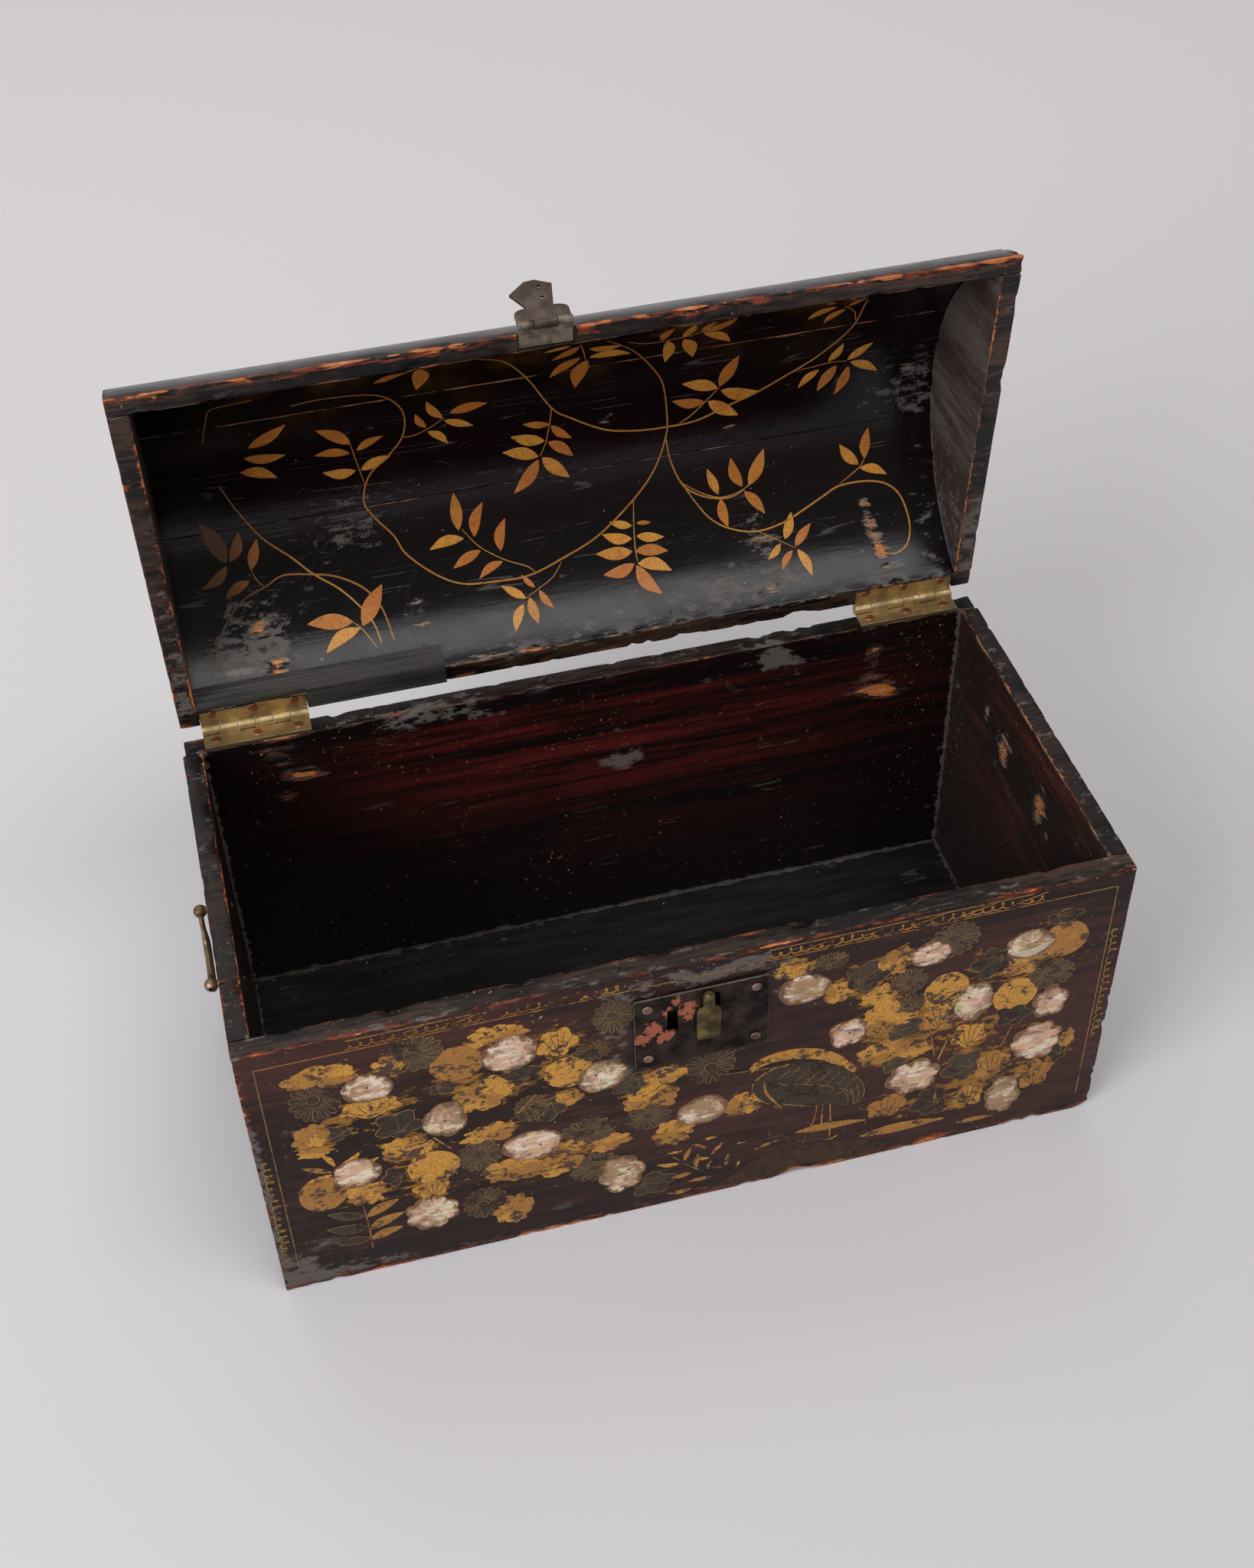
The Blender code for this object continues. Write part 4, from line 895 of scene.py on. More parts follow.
def curve_through(points, steps, closed=False):
    """A smooth line through points in the plane."""
    count = len(points)
    line = []
    for i in range(count if closed else count - 1):
        if closed:
            four = [points[(i + k) % count] for k in (-1, 0, 1, 2)]
        else:
            four = [points[min(max(i + k, 0), count - 1)] for k in (-1, 0, 1, 2)]
        a, b, c, d = [np.array(p, float) for p in four]
        for k in range(steps):
            t = k / steps
            line.append(0.5 * (2 * b + (c - a) * t + (2 * a - 5 * b + 4 * c - d) * t ** 2
                               + (3 * b - a - 3 * c + d) * t ** 3))
    if not closed:
        line.append(np.array(points[-1], float))
    return line


def radial(centre, width, height, reach, turn=0.0, steps=48):
    """An outline about a centre, where reach gives its share of the half width and height at each angle."""
    outline = []
    for i in range(steps):
        angle = 2 * math.pi * i / steps
        share = reach(angle)
        outline.append((
            centre[0] + width / 2 * share * math.cos(angle + turn),
            centre[1] + height / 2 * share * math.sin(angle + turn)))
    return outline


class Inlay:
    """Thin closed pieces on one face, gathered into one mesh."""

    def __init__(self, place, seed):
        self.place = place
        self.draw = random.Random(seed)
        self.points = []
        self.faces = []
        self.tones = []
        self.rims = []

    def add(self, rings, tone, rims=None):
        """Closed rings of (across, up, lift) points, joined one to the next and capped at both ends."""
        count = len(rings[0])
        start = len(self.points)
        for ring in rings:
            self.points += [self.place(*point) for point in ring]
        self.tones += [tone] * (count * len(rings))
        for k in range(len(rings)):
            self.rims += [rims[k] if rims else 0.0] * count
        for k in range(len(rings) - 1):
            row = start + k * count
            for i in range(count):
                j = (i + 1) % count
                self.faces.append((row + i, row + j, row + count + j, row + count + i))
        self.faces.append(tuple(range(start, start + count))[::-1])
        self.faces.append(tuple(range(start + (len(rings) - 1) * count, len(self.points))))

    def pad(self, outline, height=PAINT, tone=None):
        """A piece with a crowned top whose sides run into the face."""
        middle = np.mean(np.array(outline), axis=0)
        shares = (1, 1, 0.94, 0.75, 0.45, 0.15)
        lifts = (-SINK, 0.6 * height, 0.82 * height, 0.92 * height, 0.97 * height, height)
        rings = []
        for share, lift in zip(shares, lifts):
            rings.append([(*(middle + (np.array(p) - middle) * share), lift) for p in outline])
        self.add(rings, self.draw.random() if tone is None else tone, shares)

    def line(self, path, width, height=PAINT + 0.08, taper=0.0, closed=False, tone=None):
        """A painted line. A taper of 1 brings both its ends to a point."""
        path = [np.array(p, float) for p in path]
        count = len(path)
        rings = []
        for i in range(count):
            ahead = path[(i + 1) % count] if closed else path[min(i + 1, count - 1)]
            behind = path[i - 1] if closed else path[max(i - 1, 0)]
            run = ahead - behind
            across = np.array((-run[1], run[0])) / max(np.hypot(*run), 1e-6)
            half = width / 2 * (1 - taper * abs(2 * i / (count - 1) - 1) ** 2 * 0.85)
            left = path[i] + across * half
            right = path[i] - across * half
            rings.append([(*left, -SINK), (*left, height * 0.8), (*right, height * 0.8), (*right, -SINK)])
        if closed:
            rings.append(rings[0])
        self.add(rings, self.draw.random() if tone is None else tone)

    def make(self, name, body, look, slot):
        made = new_piece(name, self.points, self.faces, [look], {"tone": self.tones, "rim": self.rims})
        return seat(smooth(made), body, slot)


LEAF_STEPS = 8
LEAF_POINT = 0.012


def leaf_outline(base, tip, width, bend):
    """A pointed leaf from its base to its tip, bowed to one side. Width and bend are shares of its length."""
    base = np.array(base, float)
    run = np.array(tip, float) - base
    across = np.array((-run[1], run[0]))
    sides = ([], [])
    for i in range(LEAF_STEPS + 1):
        t = i / LEAF_STEPS
        half = width / 2 * math.sin(math.pi * t ** 0.85) ** 0.9 if 0 < t < 1 else LEAF_POINT
        spine = base + run * t + across * bend * math.sin(math.pi * t)
        sides[0].append(spine + across * half)
        sides[1].append(spine - across * half)
    return sides[0] + sides[1][::-1]


# The vine inside the lid: (across, over the vault from the back rim)
VINE_STEMS = (
    ((-137, 175), (-120, 177), (-94, 172), (-81, 155), (-81, 136), (-90, 123), (-101, 113), (-106, 98),
     (-101, 87), (-93, 76), (-88, 65), (-75, 52), (-61, 44), (-43, 42), (-24, 42), (-4, 48), (18, 57),
     (41, 74), (54, 89), (61, 106), (62, 119), (59, 142), (50, 160), (39, 177), (24, 194)),
    ((-43, 198), (-30, 189), (-16, 166), (-2, 138), (9, 128), (27, 117), (44, 113), (61, 112), (79, 113),
     (96, 119), (113, 125), (134, 136), (146, 144), (158, 157), (163, 170), (163, 194)),
    ((61, 106), (63, 91), (69, 76), (80, 68), (93, 65), (103, 68)),
    ((69, 76), (75, 65), (82, 55), (92, 48), (106, 44), (122, 46), (137, 52), (148, 57), (158, 61),
     (174, 61), (186, 57), (193, 48), (195, 33), (191, 22), (183, 18), (176, 20), (175, 25)),
    ((-179, 121), (-172, 104), (-162, 87), (-149, 74), (-139, 63), (-127, 53), (-118, 42), (-112, 31),
     (-110, 20)),
    ((-164, 61), (-155, 65), (-140, 63), (-126, 59), (-113, 50), (-106, 38), (-103, 20)),
    ((-164, 61), (-179, 55), (-191, 42), (-197, 29), (-194, 14)),
)
# Each spray: the points of its stalk, and its leaves as base and tip
VINE_SPRAYS = (
    (((-183, 155), (-180, 171), (-177, 185), (-169, 188), (-156, 190)),
     ((-161, 144, -141, 158), (-164, 137, -143, 135), (-167, 128, -149, 121))),
    (((-109, 135), (-107, 123), (-104, 107)),
     ((-109, 135, -126, 149), (-110, 129, -128, 131), (-108, 117, -125, 119), (-106, 130, -92, 137),
      (-105, 117, -89, 123))),
    (((-82, 134), (-75, 134), (-66, 138), (-59, 143)),
     ((-60, 143, -68, 158), (-56, 146, -36, 149), (-59, 141, -44, 134), (-69, 138, -74, 149),
      (-68, 135, -58, 125))),
    (((-90, 186), (-80, 194), (-73, 200)),
     ((-73, 197, -73, 171), (-95, 186, -80, 195))),
    (((-171, 71), (-169, 65), (-166, 61)),
     ((-183, 77, -193, 101), (-181, 77, -174, 93), (-171, 71, -165, 87), (-183, 75, -198, 65),
      (-173, 65, -187, 58))),
    (((-123, 34), (-118, 28), (-113, 18)),
     ((-123, 34, -147, 37), (-118, 31, -104, 51), (-120, 30, -140, 20))),
    (((-2, 139), (-2, 132), (-5, 116), (-9, 107)),
     ((-3, 126, -17, 129), (-2, 125, 9, 115), (-6, 116, -24, 122), (-4, 115, 9, 104),
      (-10, 107, -29, 113), (-8, 106, 6, 92), (-10, 105, -25, 88))),
    (((-56, 73), (-48, 62), (-36, 53), (-24, 47), (-20, 43)),
     ((-58, 73, -58, 94), (-50, 68, -43, 86), (-56, 68, -75, 65), (-48, 60, -64, 53), (-37, 58, -32, 75),
      (-37, 52, -51, 45))),
    (((-5, 46), (-11, 39), (-20, 34), (-28, 30)),
     ((-22, 35, -28, 43), (-28, 30, -40, 39), (-30, 27, -37, 13), (-26, 30, -24, 15), (-20, 33, -14, 22))),
    (((10, 196), (13, 184), (15, 174)),
     ((5, 195, -8, 191), (10, 192, -3, 179), (12, 177, -3, 162), (16, 173, 11, 150), (16, 186, 33, 184),
      (17, 176, 39, 173))),
    (((40, 73), (38, 57), (37, 46), (37, 39)),
     ((37, 59, 25, 63), (40, 60, 48, 59), (36, 52, 20, 57), (39, 53, 54, 50), (35, 45, 15, 47),
      (37, 45, 55, 42), (35, 38, 17, 35), (37, 38, 55, 31), (36, 37, 47, 19))),
    (((36, 187), (48, 181), (66, 182), (77, 185)),
     ((55, 182, 59, 197), (66, 182, 70, 197), (76, 185, 81, 197), (77, 184, 92, 197), (58, 180, 59, 159),
      (67, 179, 74, 160), (77, 183, 93, 169))),
    (((69, 113), (77, 118), (91, 132)),
     ((90, 132, 70, 139), (91, 133, 100, 154), (92, 130, 114, 125), (83, 124, 65, 128),
      (85, 124, 102, 112))),
    (((162, 170), (159, 180), (152, 189)),
     ((147, 190, 134, 179), (153, 185, 144, 172), (154, 188, 162, 197), (145, 196, 139, 198))),
    (((133, 135), (144, 136), (154, 137), (163, 136)),
     ((152, 138, 159, 150), (163, 137, 176, 147), (165, 135, 181, 126), (147, 133, 136, 123),
      (157, 134, 147, 119), (164, 132, 157, 115))),
    (((69, 77), (79, 70), (89, 66), (99, 67), (106, 70)),
     ((88, 68, 83, 83), (102, 70, 97, 87), (106, 70, 116, 89), (103, 67, 113, 53), (89, 65, 91, 49))),
    (((158, 62), (170, 69), (174, 74)),
     ((170, 71, 160, 84), (174, 74, 177, 91), (171, 69, 186, 63))),
    (((107, 44), (115, 39), (127, 31)),
     ((122, 37, 128, 51), (127, 32, 138, 43), (119, 35, 110, 27), (125, 30, 117, 20), (128, 30, 133, 14))),
)
# Where the lid is scuffed: middle, reach, how many scratches and their lean
LID_SCUFFS = (
    (-116, 84, 26, 20, 54, 0.7), (-150, 60, 30, 26, 24, 0.5), (-168, 30, 24, 22, 16, 1.2),
    (-20, 110, 60, 40, 14, 0.2), (60, 60, 60, 30, 12, 0.1), (110, 40, 30, 24, 16, 0.3),
    (190, 110, 16, 40, 22, 1.3), (120, 130, 60, 40, 12, 0.4), (-90, 30, 14, 14, 20, 0.9))


def scratch(lines, middle, reach, lean):
    """A fine bowed scratch near a place."""
    draw = lines.draw
    start = np.array(middle) + np.array(reach) * (draw.gauss(0, 0.5), draw.gauss(0, 0.5))
    angle = lean + draw.gauss(0, 0.35)
    length = draw.uniform(3, 15)
    run = np.array((math.cos(angle), math.sin(angle))) * length
    side = np.array((-run[1], run[0])) * draw.uniform(-0.18, 0.18)
    end = start + run
    lines.line(curve_through((start, (start + end) / 2 + side, end), 4), draw.uniform(0.08, 0.20), 0.05, 0.9)


# Where and how fast the vine darkens towards the lid's left end: partly fading, partly painted shade
SHADE_FADE_START = -0.148
SHADE_FADE_REACH = 0.032


def fade_and_shade_left(inlay):
    """Darkens the vine towards the lid's left end: partly fading and dust, partly painted shade for the shadow
    that lies there.
    """
    inlay.tones = [
        tone - max(0.0, SHADE_FADE_START - point.x) / SHADE_FADE_REACH for tone, point in zip(inlay.tones, inlay.points)]


def make_lid_scratches():
    scratches = Inlay(on_vault, 5)
    for x, along, wide, tall, count, lean in LID_SCUFFS:
        for i in range(count):
            scratch(scratches, (x, along), (wide, tall), lean)
    scratches.make("lid_scratches", "lid", SCRATCH, "black_lacquer")


def make_vine():
    """Gold stems and leaves inside the lid."""
    stems = Inlay(on_vault, 3)
    leaves = Inlay(on_vault, 4)
    for stem in VINE_STEMS:
        stems.line(curve_through(stem, 6), 1.0, taper=0.4)
    for stalk, sprays in VINE_SPRAYS:
        stems.line(curve_through(stalk, 6), 0.55, taper=0.5)
        for x0, v0, x1, v1 in sprays:
            bend = leaves.draw.uniform(-0.10, 0.10)
            width = leaves.draw.uniform(0.30, 0.38)
            leaves.pad(leaf_outline((x0, v0), (x1, v1), width, bend))
    fade_and_shade_left(stems)
    fade_and_shade_left(leaves)
    stems.make("lid_vine_stems", "lid", VINE_LINE, "black_lacquer")
    leaves.make("lid_vine_leaves", "lid", GOLD, "black_lacquer")


# The front's flowers: (across, up, width, height)
MUMS = (
    (-191, 150, 26, 32), (-141, 169, 28, 26), (-116, 79, 23, 26), (-116, 38, 24, 26), (-88, 108, 18, 21),
    (-55, 142, 20, 15), (-44, 165, 21, 25), (5, 111, 27, 30), (-28, 80, 25, 22), (-60, 78, 31, 23),
    (-57, 47, 28, 24), (66, 171, 20, 12), (109, 142, 20, 20), (110, 124, 19, 17), (131, 167, 27, 26),
    (188, 123, 26, 23))
# Pearls have the count of their petals as well, or 0 for a plain oval
PEARLS = (
    (-166, 151, 24, 20, 0), (-96, 154, 28, 24, 0), (-131, 114, 22, 28, 3), (-178, 87, 24, 21, 0),
    (-144, 40, 27, 28, 8), (-89, 78, 29, 23, 0), (-51, 121, 24, 23, 0), (-43, 36, 25, 30, 6),
    (1, 75, 27, 21, 0), (53, 154, 25, 21, 0), (119, 160, 20, 17, 0), (146, 115, 22, 29, 5),
    (173, 151, 26, 20, 0), (190, 101, 19, 25, 5), (78, 112, 20, 22, 4), (186, 70, 29, 30, 9),
    (117, 63, 29, 28, 6), (171, 29, 20, 31, 6))
GOLD_CLUMPS = (
    (-154, 164, 15, 14), (-102, 169, 24, 13), (-110, 128, 24, 21), (-152, 98, 21, 14),
    (-196, 124, 17, 15), (-197, 111, 15, 7), (-175, 68, 17, 15), (-102, 26, 17, 20), (-109, 95, 23, 12),
    (-101, 61, 26, 16), (-18, 111, 20, 11), (-26, 94, 25, 18), (-68, 110, 12, 9), (-50, 65, 19, 11),
    (-72, 70, 19, 10), (-77, 57, 23, 15), (23, 72, 17, 16), (-15, 62, 19, 17), (48, 171, 18, 12),
    (71, 146, 14, 12), (94, 136, 16, 13), (101, 160, 18, 16), (172, 137, 21, 14), (100, 116, 26, 23),
    (204, 66, 7, 13), (98, 89, 23, 16), (115, 86, 15, 12), (-186, 166, 29, 14))
GOLD_LEAVES = (
    (-166, 135, 35, 15), (-142, 60, 20, 16), (-72, 155, 22, 23), (128, 108, 22, 21), (146, 87, 21, 22),
    (162, 59, 23, 23), (188, 41, 23, 25), (150, 35, 20, 21), (104, 41, 25, 20))
GOLD_DISCS = (
    (-122, 155, 26, 26), (-196, 76, 25, 28), (-140, 78, 27, 26), (-68, 130, 25, 23), (130, 127, 25, 30),
    (169, 113, 25, 25), (192, 149, 26, 26))
DARK_LEAVES = (
    (-91, 135, 24, 17), (-130, 139, 17, 10), (-154, 117, 26, 23), (-183, 122, 14, 12), (-159, 77, 14, 17),
    (-36, 110, 20, 18), (-80, 105, 22, 21), (-27, 21, 26, 21), (85, 153, 25, 24), (189, 167, 21, 11),
    (154, 143, 24, 24), (170, 96, 21, 20), (107, 105, 24, 18), (200, 55, 12, 15), (105, 78, 16, 16),
    (146, 62, 25, 26), (129, 37, 23, 24))
# Paths of (across, up), and small leaves as base and tip
WHITE_CRESCENT = ((163, 146), (186, 151))
FLOWER_STALKS = (
    ((-138, 102), (-130, 90)), ((123, 102), (128, 76)), ((135, 92), (130, 72)), ((170, 87), (165, 70)),
    ((-85, 118), (-100, 100)), ((-178, 59), (-177, 40), (-177, 21)), ((131, 52), (131, 34)))
BAMBOO_STEM = ((-15, 40), (-7, 30), (0, 23), (10, 15))
BAMBOO_LEAVES = (
    (-11, 33, -24, 36), (-4, 23, -18, 22), (6, 15, -7, 15), (-9, 34, -5, 45), (3, 41, -5, 47),
    (5, 32, -4, 35), (-2, 26, -1, 38), (6, 35, 12, 43), (14, 22, 16, 33), (4, 22, 6, 29), (5, 24, 12, 21),
    (21, 19, 22, 25), (-10, 44, -18, 44), (0, 48, 9, 49), (-5, 8, -18, 8), (20, 39, 25, 39))
BIRD_BODY = (
    (47, 97), (39, 96), (32, 92), (28, 87), (28, 81), (31, 74), (38, 66), (45, 61), (54, 60), (64, 56),
    (74, 54), (83, 51), (88, 53), (90, 60), (88, 68), (82, 78), (73, 87), (62, 93), (54, 96))
BIRD_BACK = ((26, 98), (32, 103), (43, 105), (55, 103), (66, 98), (76, 89), (84, 79))
BIRD_BEAK = ((14, 100), (24, 99), (38, 97), (47, 96))
BIRD_LINES = (
    ((47, 97), (39, 96), (32, 92), (28, 87), (28, 81), (31, 74), (38, 66), (44, 61)),
    ((44, 65), (54, 60), (64, 56)), ((74, 54), (83, 51), (88, 53), (90, 60), (88, 68), (83, 77)),
    ((48, 92), (43, 88), (42, 84), (46, 80), (54, 78), (66, 73), (78, 66), (84, 58)),
    ((82, 65), (84, 58), (84, 52)), ((85, 67), (87, 60), (86, 53)), ((79, 63), (81, 57), (81, 52)))
BIRD_BREAST = ((34, 86), (35, 78), (39, 70), (44, 62))
BIRD_LEGS = (
    ((64, 57), (63, 47), (61, 38), (57, 27)), ((67, 58), (67, 47), (67, 37)),
    ((71, 57), (72, 40), (72, 25)), ((65, 28), (72, 24), (78, 27)))
PLANT_LEAVES = (
    (-178, 50, -196, 58), (-177, 49, -160, 58), (-177, 40, -198, 45), (-177, 38, -158, 46),
    (-177, 30, -196, 33), (-177, 29, -160, 34))
SPRIG_LEAVES = (
    (-190, 92, -204, 100), (-188, 96, -194, 108), (-186, 95, -174, 104), (-184, 90, -166, 96),
    (-190, 90, -203, 88))
MOUND_OUTLINE = (
    (8, 5), (19, 12), (32, 21), (45, 25), (62, 24), (80, 20), (95, 15), (104, 10), (104, 4), (78, 3),
    (66, 5), (56, 9), (44, 4), (24, 3))
GROUND_BANDS = ((52, 37, 92, 34), (90, 20, 138, 19), (146, 12, 168, 11), (30, 30, 44, 34))
# Border: runs of scrolls from one place across to another, then lines and scrolls with their own level first
BORDER_SIDE = 216
BORDER_TOP = 181
BORDER_FOOT = 14
SCROLL_PITCH = 5.2
SCROLL_SPAN = 27
SCROLL_HEIGHT = 4.6
SCROLL_RUNS = ((-173, -104), (-98, -66), (-60, -40), (32, 176))
UPPER_LINES = ((188.5, 34, 170), (188.3, -172, -112))
SIDE_SCROLLS = ((-222.5, 30, 112), (218, 62, 150))
FULL_TURN = 6.28


def ripple(draw, amount):
    """An uneven edge: a share of about 1 with waves of random phase."""
    parts = [(count, draw.uniform(0, FULL_TURN), amount / count ** 0.5) for count in (2, 3, 5, 8)]
    return lambda angle: 1 + sum(size * math.sin(count * angle + phase) for count, phase, size in parts)


# Points round a petal: share of the way from the eye to the rim, and turn to each side
PETAL = ((0.32, -0.4), (0.72, -0.8), (0.92, -0.6), (0.99, 0), (0.92, 0.6), (0.72, 0.8), (0.32, 0.4))
PETALS = 15


def mum(pads, lines, x, z, width, height):
    """A chrysanthemum: a dark disc with petals drawn round an eye that is a little off its centre."""
    draw = pads.draw
    edge = ripple(draw, 0.02)
    scallop = lambda angle: edge(angle) * (0.97 + 0.03 * math.cos(PETALS * angle))
    pads.pad(radial((x, z), width, height, scallop, 0, 60))
    eye = np.array((x + draw.uniform(-0.08, 0.08) * width, z + draw.uniform(-0.08, 0.08) * height))
    lines.line(radial(eye, 0.26 * width, 0.22 * height, edge, steps=12), 0.35, closed=True)
    for i in range(PETALS):
        angle = 2 * math.pi * i / PETALS
        spread = 0.8 * math.pi / PETALS
        petal = []
        for share, turn in PETAL:
            a = angle + turn * spread
            rim = np.array((x + width / 2 * math.cos(a), z + height / 2 * math.sin(a)))
            petal.append(eye + (rim - eye) * share)
        lines.line(curve_through(petal, 2), 0.32, taper=0.3)


def lobed(draw, lobes, depth):
    """A leaf edge with pointed lobes."""
    rough = ripple(draw, 0.05)

    def reach(angle):
        place = (lobes * angle / (2 * math.pi)) % 1
        point = (1 - 2 * abs(place - 0.5)) ** 0.6
        return rough(angle) * (1 - depth + depth * point) * (1 + 0.10 * math.cos(angle))

    return reach


def veined_leaf(pads, lines, x, z, width, height):
    """A dark leaf of five lobes, with a gold outline and a vein to each lobe from a foot on its edge."""
    draw = pads.draw
    turn = draw.uniform(0, FULL_TURN)
    outline = radial((x, z), width, height, lobed(draw, 5, 0.38), turn)
    pads.pad(outline)
    lines.line(outline, 0.32, closed=True)
    centre = np.array((x, z))
    foot = np.array(outline[24])
    for i in (0, 10, 19, 29, 38):
        tip = centre + (np.array(outline[i]) - centre) * 0.8
        lines.line([foot, centre * 0.5 + foot * 0.5, tip], 0.32, taper=0.6)


def gold_veins(lines, x, z, width, height):
    """Dark veins that fan out over a gold leaf from a foot at its lower edge."""
    foot = np.array((x, z - 0.40 * height))
    for lean in (-0.8, -0.4, 0.0, 0.4, 0.8):
        tip = np.array((x + 0.44 * width * lean, z + 0.40 * height * math.cos(1.4 * lean)))
        middle = (foot + tip) / 2 + np.array((0.06 * width * lean, 0))
        lines.line(curve_through([foot, middle, tip], 3), 0.40, taper=0.7)


def clump(pads, x, z, width, height):
    """A tuft of ragged gold leaves."""
    draw = pads.draw
    count = 5
    for i in range(count):
        angle = 2 * math.pi * i / count + draw.uniform(-0.5, 0.5)
        spot = (x + 0.30 * width * math.cos(angle), z + 0.30 * height * math.sin(angle))
        edge = lobed(draw, draw.choice((3, 5, 5)), 0.42)
        size = draw.uniform(0.66, 0.88)
        pads.pad(radial(spot, size * width, size * height, edge, draw.uniform(0, FULL_TURN)))


def scroll(lines, start, end, level, upright=False):
    """A running wave whose crests curl over, higher and lower by turns, with slanting lines across it."""
    draw = lines.draw
    path = []
    for i in range(round((end - start) / SCROLL_PITCH)):
        swell = 0.45 + 0.55 * abs(math.sin(math.pi * i * SCROLL_PITCH / SCROLL_SPAN))
        high = SCROLL_HEIGHT / 2 * swell * draw.uniform(0.85, 1.1)
        curl = SCROLL_PITCH * draw.uniform(0.24, 0.36)
        for k in range(12):
            turn = 2 * math.pi * k / 12
            along = start + SCROLL_PITCH * (i + k / 12) + curl * math.sin(turn)
            across = level + high * (1 - math.cos(turn))
            path.append((across, along) if upright else (along, across))
    lines.line(path, 0.5)
    if not upright:
        for i in range(1, int((end - start) / SCROLL_SPAN) + 1):
            middle = start + i * SCROLL_SPAN
            slant = [(middle + u * 11, level + (u + 1) * 2.8) for u in (-1, -0.5, 0, 0.5, 1)]
            lines.line(slant, 0.45, taper=0.6)


def feather(lines, x, z, size, height):
    """One feather's rounded tip."""
    arc = [(x + size * math.cos(a), z + 0.8 * size * math.sin(a)) for a in np.linspace(-2.2, 0.9, 7)]
    lines.line(arc, 0.34, height, 0.3)


def make_bird(gold, dark, lines, fine):
    """A standing bird with its neck drawn in and its beak to the left, under a gold back."""
    gold.line(curve_through(BIRD_BACK, 6), 8.0, taper=0.7)
    dark.line(curve_through(BIRD_BEAK, 4), 2.0, PAINT + 0.06, 0.6, tone=0.4)
    dark.pad(curve_through(BIRD_BODY, 3, True), PAINT + 0.10, 0.4)
    height = PAINT + 0.20
    for path in BIRD_LINES:
        lines.line(curve_through(path, 5), 0.42, height, 0.4)
    gold.line(curve_through(BIRD_BREAST, 5), 1.5, height, 0.7)
    fine.line(curve_through(BIRD_BEAK, 4), 0.3, height, 0.6)
    for row in range(4):
        for i in range(8):
            x = 50 + 5.6 * i - 2.8 * (row % 2)
            z = 92 - 4.6 * row - 0.52 * (x - 50)
            if z > 83 - 0.60 * (x - 44) and x < 86:
                feather(fine, x, z, 2.7, height)
    for path in BIRD_LEGS:
        lines.line(curve_through(path, 5), 0.7, taper=0.3)


def pearl(pearls, dark, lines, x, z, width, height, petals):
    """A piece of shell, oval or cut as a blossom, in a gold line and mostly with a nail hole."""
    draw = pearls.draw
    rough = ripple(draw, 0.045)
    phase = draw.uniform(0, FULL_TURN)
    deep = 0.22 if petals else 0.0
    edge = lambda angle: rough(angle) * (1 - deep + deep * abs(math.cos(petals * angle / 2 + phase)) ** 0.6)
    pearls.pad(radial((x, z), width, height, edge, 0, 54), INLAY)
    lines.line(radial((x, z), width + 0.9, height + 0.9, edge, 0, 54), 0.5, closed=True)
    if draw.random() < 0.6:
        hole = (x + draw.uniform(-0.15, 0.15) * width, z + draw.uniform(-0.15, 0.15) * height)
        dark.pad(radial(hole, 2.2, 1.7, ripple(draw, 0.1), 0, 10), INLAY + 0.05, 0.0)


def make_border(lines, fine):
    """Gold lines round the front and the scrolls that run outside them."""
    turns = ((-1, BORDER_FOOT), (-1, BORDER_TOP), (1, BORDER_TOP), (1, BORDER_FOOT))
    corners = [np.array((side * BORDER_SIDE, level), float) for side, level in turns]
    for one, two in zip(corners, corners[1:]):
        drawn = lines if one[1] == two[1] else fine
        drawn.line([one + (two - one) * i / 30 for i in range(31)], 0.6)
    for start, end in SCROLL_RUNS:
        scroll(lines, start, end, BORDER_TOP + 1.4)
    for height, start, end in UPPER_LINES:
        fine.line([(start + (end - start) * i / 20, height) for i in range(21)], 0.45)
    for across, low, high in SIDE_SCROLLS:
        scroll(fine, low, high, across, True)


def make_flowers(pearls, gold, discs, dark, fine):
    """The front's flowers and round leaves, with the shell among them."""
    for x, z, width, height in GOLD_DISCS:
        discs.pad(radial((x, z), width, height, ripple(discs.draw, 0.025)))
    for place in GOLD_CLUMPS:
        clump(gold, *place)
    for x, z, width, height in GOLD_LEAVES:
        gold.pad(radial((x, z), width, height, lobed(gold.draw, 5, 0.35), gold.draw.uniform(0, FULL_TURN)))
    for place in MUMS:
        mum(dark, fine, *place)
    for place in DARK_LEAVES:
        veined_leaf(dark, fine, *place)
    for place in PEARLS:
        pearl(pearls, dark, fine, *place)


def make_plants(gold, dark, lines, fine):
    """The front's stalks, bamboo and small plants."""
    for stalk in FLOWER_STALKS:
        lines.line(curve_through(stalk, 6), 0.9, taper=0.4)
    lines.line(curve_through(BAMBOO_STEM, 6), 0.6, taper=0.5)
    for x0, z0, x1, z1 in BAMBOO_LEAVES + SPRIG_LEAVES:
        gold.pad(leaf_outline((x0, z0), (x1, z1), 0.24, gold.draw.uniform(-0.08, 0.08)))
    for i, (x0, z0, x1, z1) in enumerate(PLANT_LEAVES):
        outline = leaf_outline((x0, z0), (x1, z1), 0.34, 0.04)
        (gold if i % 2 else dark).pad(outline)
        fine.line(outline, 0.32, closed=True)


# Pieces of the front's ornament: name, seed and look
FRONT_INLAYS = (
    ("pearls", 11, PEARL), ("gold_leaves", 12, OLD_GOLD), ("gold_discs", 13, OLD_GOLD),
    ("dark_leaves", 14, DARK_LEAF), ("gold_lines", 15, GOLD_LINE), ("fine_lines", 16, FINE_LINE),
    ("white_crescent", 18, WHITE_SHELL), ("mound", 17, MOUND))


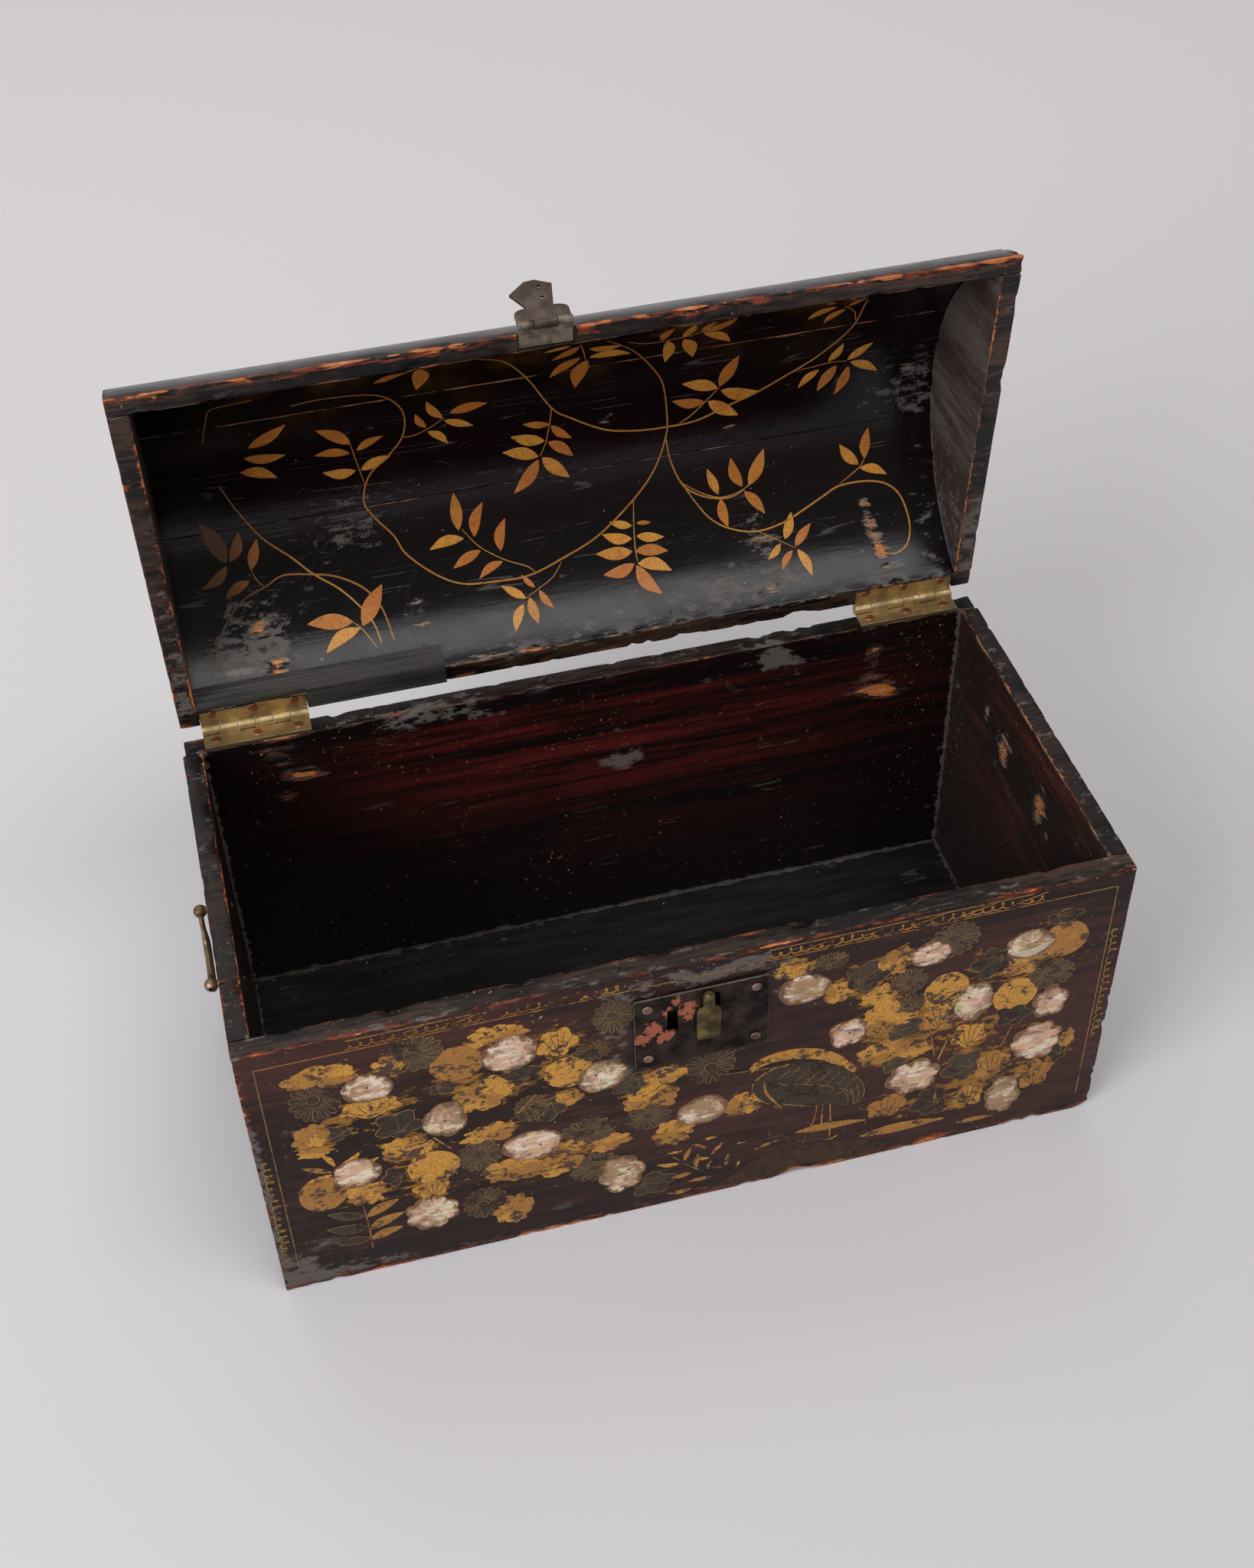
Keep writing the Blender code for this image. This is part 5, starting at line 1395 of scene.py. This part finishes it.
def make_front_ornament():
    inlays = [Inlay(on_front, seed) for name, seed, look in FRONT_INLAYS]
    pearls, gold, discs, dark, lines, fine, crescent, mound = inlays
    make_flowers(pearls, gold, discs, dark, fine)
    crescent.pad(leaf_outline(*WHITE_CRESCENT, 0.24, -0.16), INLAY + 0.12)
    make_plants(gold, dark, lines, fine)
    make_bird(gold, dark, lines, fine)
    mound.pad(curve_through(MOUND_OUTLINE, 3, True))
    for x0, z0, x1, z1 in GROUND_BANDS:
        gold.pad(leaf_outline((x0, z0), (x1, z1), 0.16, 0.02))
    make_border(lines, fine)
    for place in GOLD_LEAVES:
        gold_veins(dark, *place)
    for inlay, (name, seed, look) in zip(inlays, FRONT_INLAYS):
        inlay.make("front_" + name, "carcase", look, "black_lacquer")


# Fittings keep their CAD meshes, shown with softened edges. The hinges are shown a little fuller as well.
SOFT_EDGE = 0.00015
SOFT_ANGLE = math.radians(40)
WELD_REACH = 1e-6


def dress(look, slot, *words, spread=0.0):
    """Gives a look to each shown CAD node whose name holds one of the words. Spread closes up its gaps."""
    for name, node in NODES.items():
        if any(word in name for word in words):
            node.data.materials.clear()
            node.data.materials.append(look)
            node.modifiers.clear()
            weld = node.modifiers.new("weld", "WELD")
            weld.merge_threshold = WELD_REACH
            soft = node.modifiers.new("soft", "BEVEL")
            soft.width = SOFT_EDGE
            soft.segments = 2
            soft.limit_method = "ANGLE"
            soft.angle_limit = SOFT_ANGLE
            if spread:
                swell = node.modifiers.new("swell", "DISPLACE")
                swell.strength = spread
                swell.mid_level = 0


HINGE_SPREAD = 0.00013


def make_fittings():
    """Later looks take the place of earlier ones, so the plate's screws come after the plate."""
    dress(BRASS, "brass", "_body_leaf", "_lid_leaf", "hinge_pin", spread=HINGE_SPREAD)
    dress(TARNISHED, "brass", "keyhole_cover")
    dress(BRONZE, "brass", "_post", "_bail")
    dress(COPPER, "copper_screws", "hinge_body_screw", "hinge_lid_screw")
    dress(STEEL, "spring_steel", "lock_spring")
    dress(IRON, "worn_iron", "hasp_pin", "hasp_tongue", "lock_case", "lock_bolt")
    dress(CORRODED, "worn_iron", "hasp_leaf")
    dress(PLATE_IRON, "worn_iron", "lock_plate")
    dress(DARK_STEEL, "worn_iron", "lock_plate_screw")
    dress(GREY_WOOD, "bare_wood", "lid_repair_strip")


# Light, floor and camera
CAMERA_PLACE = (-0.1835, -0.7370, 0.9347)
CAMERA_AHEAD = (0.16794, 0.70128, -0.69282)
CAMERA_RIGHT = (0.96721, -0.25307, -0.02170)
CAMERA_LENS = 47.357
CAMERA_SENSOR = 36.0
FLOOR_SIZE = 12
FLOOR_LEVEL = -0.0003
FLOOR_NEAR = -0.5
FLOOR_FAR = 1.2
SKY_LOW = 0.05
SKY_HIGH = 0.75
SKY_DARK = 0.20
SKY_BRIGHT = 0.32
# Lamps: name, place, target, size, power and colour
LAMPS = (
    ("ceiling", (1.2, -2.4, 6.5), (0.1, 0, 0.2), (4.6, 2.6), 145, (1.0, 0.98, 0.97)),
    ("key", (-2.2, -1.5, 2.0), (0, 0, 0.2), (1.9, 1.9), 61, (0.98, 0.99, 1.0)),
    ("back", (-0.2, 2.6, 3.2), (0, 1.2, 0), (3.0, 3.0), 30, (1.0, 0.98, 0.98)))


def make_floor():
    """A pale sweep, a little paler towards the back: painted light that stands in for the brighter light
    falling there.
    """
    mesh = bpy.data.meshes.new("floor")
    work = bmesh.new()
    bmesh.ops.create_grid(work, x_segments=1, y_segments=1, size=FLOOR_SIZE)
    bmesh.ops.translate(work, vec=(0, 0, FLOOR_LEVEL), verts=work.verts)
    work.to_mesh(mesh)
    work.free()
    look = new_look("floor")
    look.bump(look.noise(900, 2), 0.0001, 0.1)
    # Painted light: the floor's colour grows paler towards the back
    painted_back_light = look.step(look.node("SeparateXYZ", look.where).outputs[1], FLOOR_NEAR, FLOOR_FAR)
    colour = look.mix(painted_back_light, tint(211, 209, 213), tint(224, 221, 223))
    mesh.materials.append(look.set(Base_Color=colour, Roughness=0.85, Specular_IOR_Level=0.2))
    put("floor", mesh)


def make_lamp(name, place, target, size, power, colour):
    lamp = bpy.data.lights.new(name, "AREA")
    lamp.shape = "ELLIPSE"
    lamp.size, lamp.size_y = size
    lamp.energy = power
    lamp.color = colour
    made = put(name, lamp)
    made.location = place
    made.rotation_euler = (Vector(target) - Vector(place)).to_track_quat("-Z", "Y").to_euler()


def make_sky():
    """A studio that is brighter overhead than towards the horizon."""
    sky = Look(bpy.data.worlds.new("studio"), "Background", "Generated")
    height = sky.node("SeparateXYZ", sky.where).outputs["Z"]
    strength = sky.step(height, SKY_LOW, SKY_HIGH, SKY_DARK, SKY_BRIGHT)
    bpy.context.scene.world = sky.set(Color=(1.0, 0.98, 0.98, 1), Strength=strength)


def make_light():
    make_sky()
    for lamp in LAMPS:
        make_lamp(*lamp)


def make_camera():
    ahead = Vector(CAMERA_AHEAD)
    right = Vector(CAMERA_RIGHT)
    up = right.cross(ahead)
    data = bpy.data.cameras.new("camera")
    data.lens = CAMERA_LENS
    data.sensor_width = CAMERA_SENSOR
    data.clip_start = 0.01
    data.clip_end = 100
    made = put("camera", data)
    turn = Matrix((right, up, -ahead)).transposed()
    made.matrix_world = Matrix.Translation(CAMERA_PLACE) @ turn.to_4x4()
    bpy.context.scene.camera = made


bpy.context.scene.view_settings.view_transform = "Standard"
make_boards()
make_lid()
make_lid_scratches()
make_vine()
make_front_ornament()
make_fittings()
make_floor()
make_light()
make_camera()
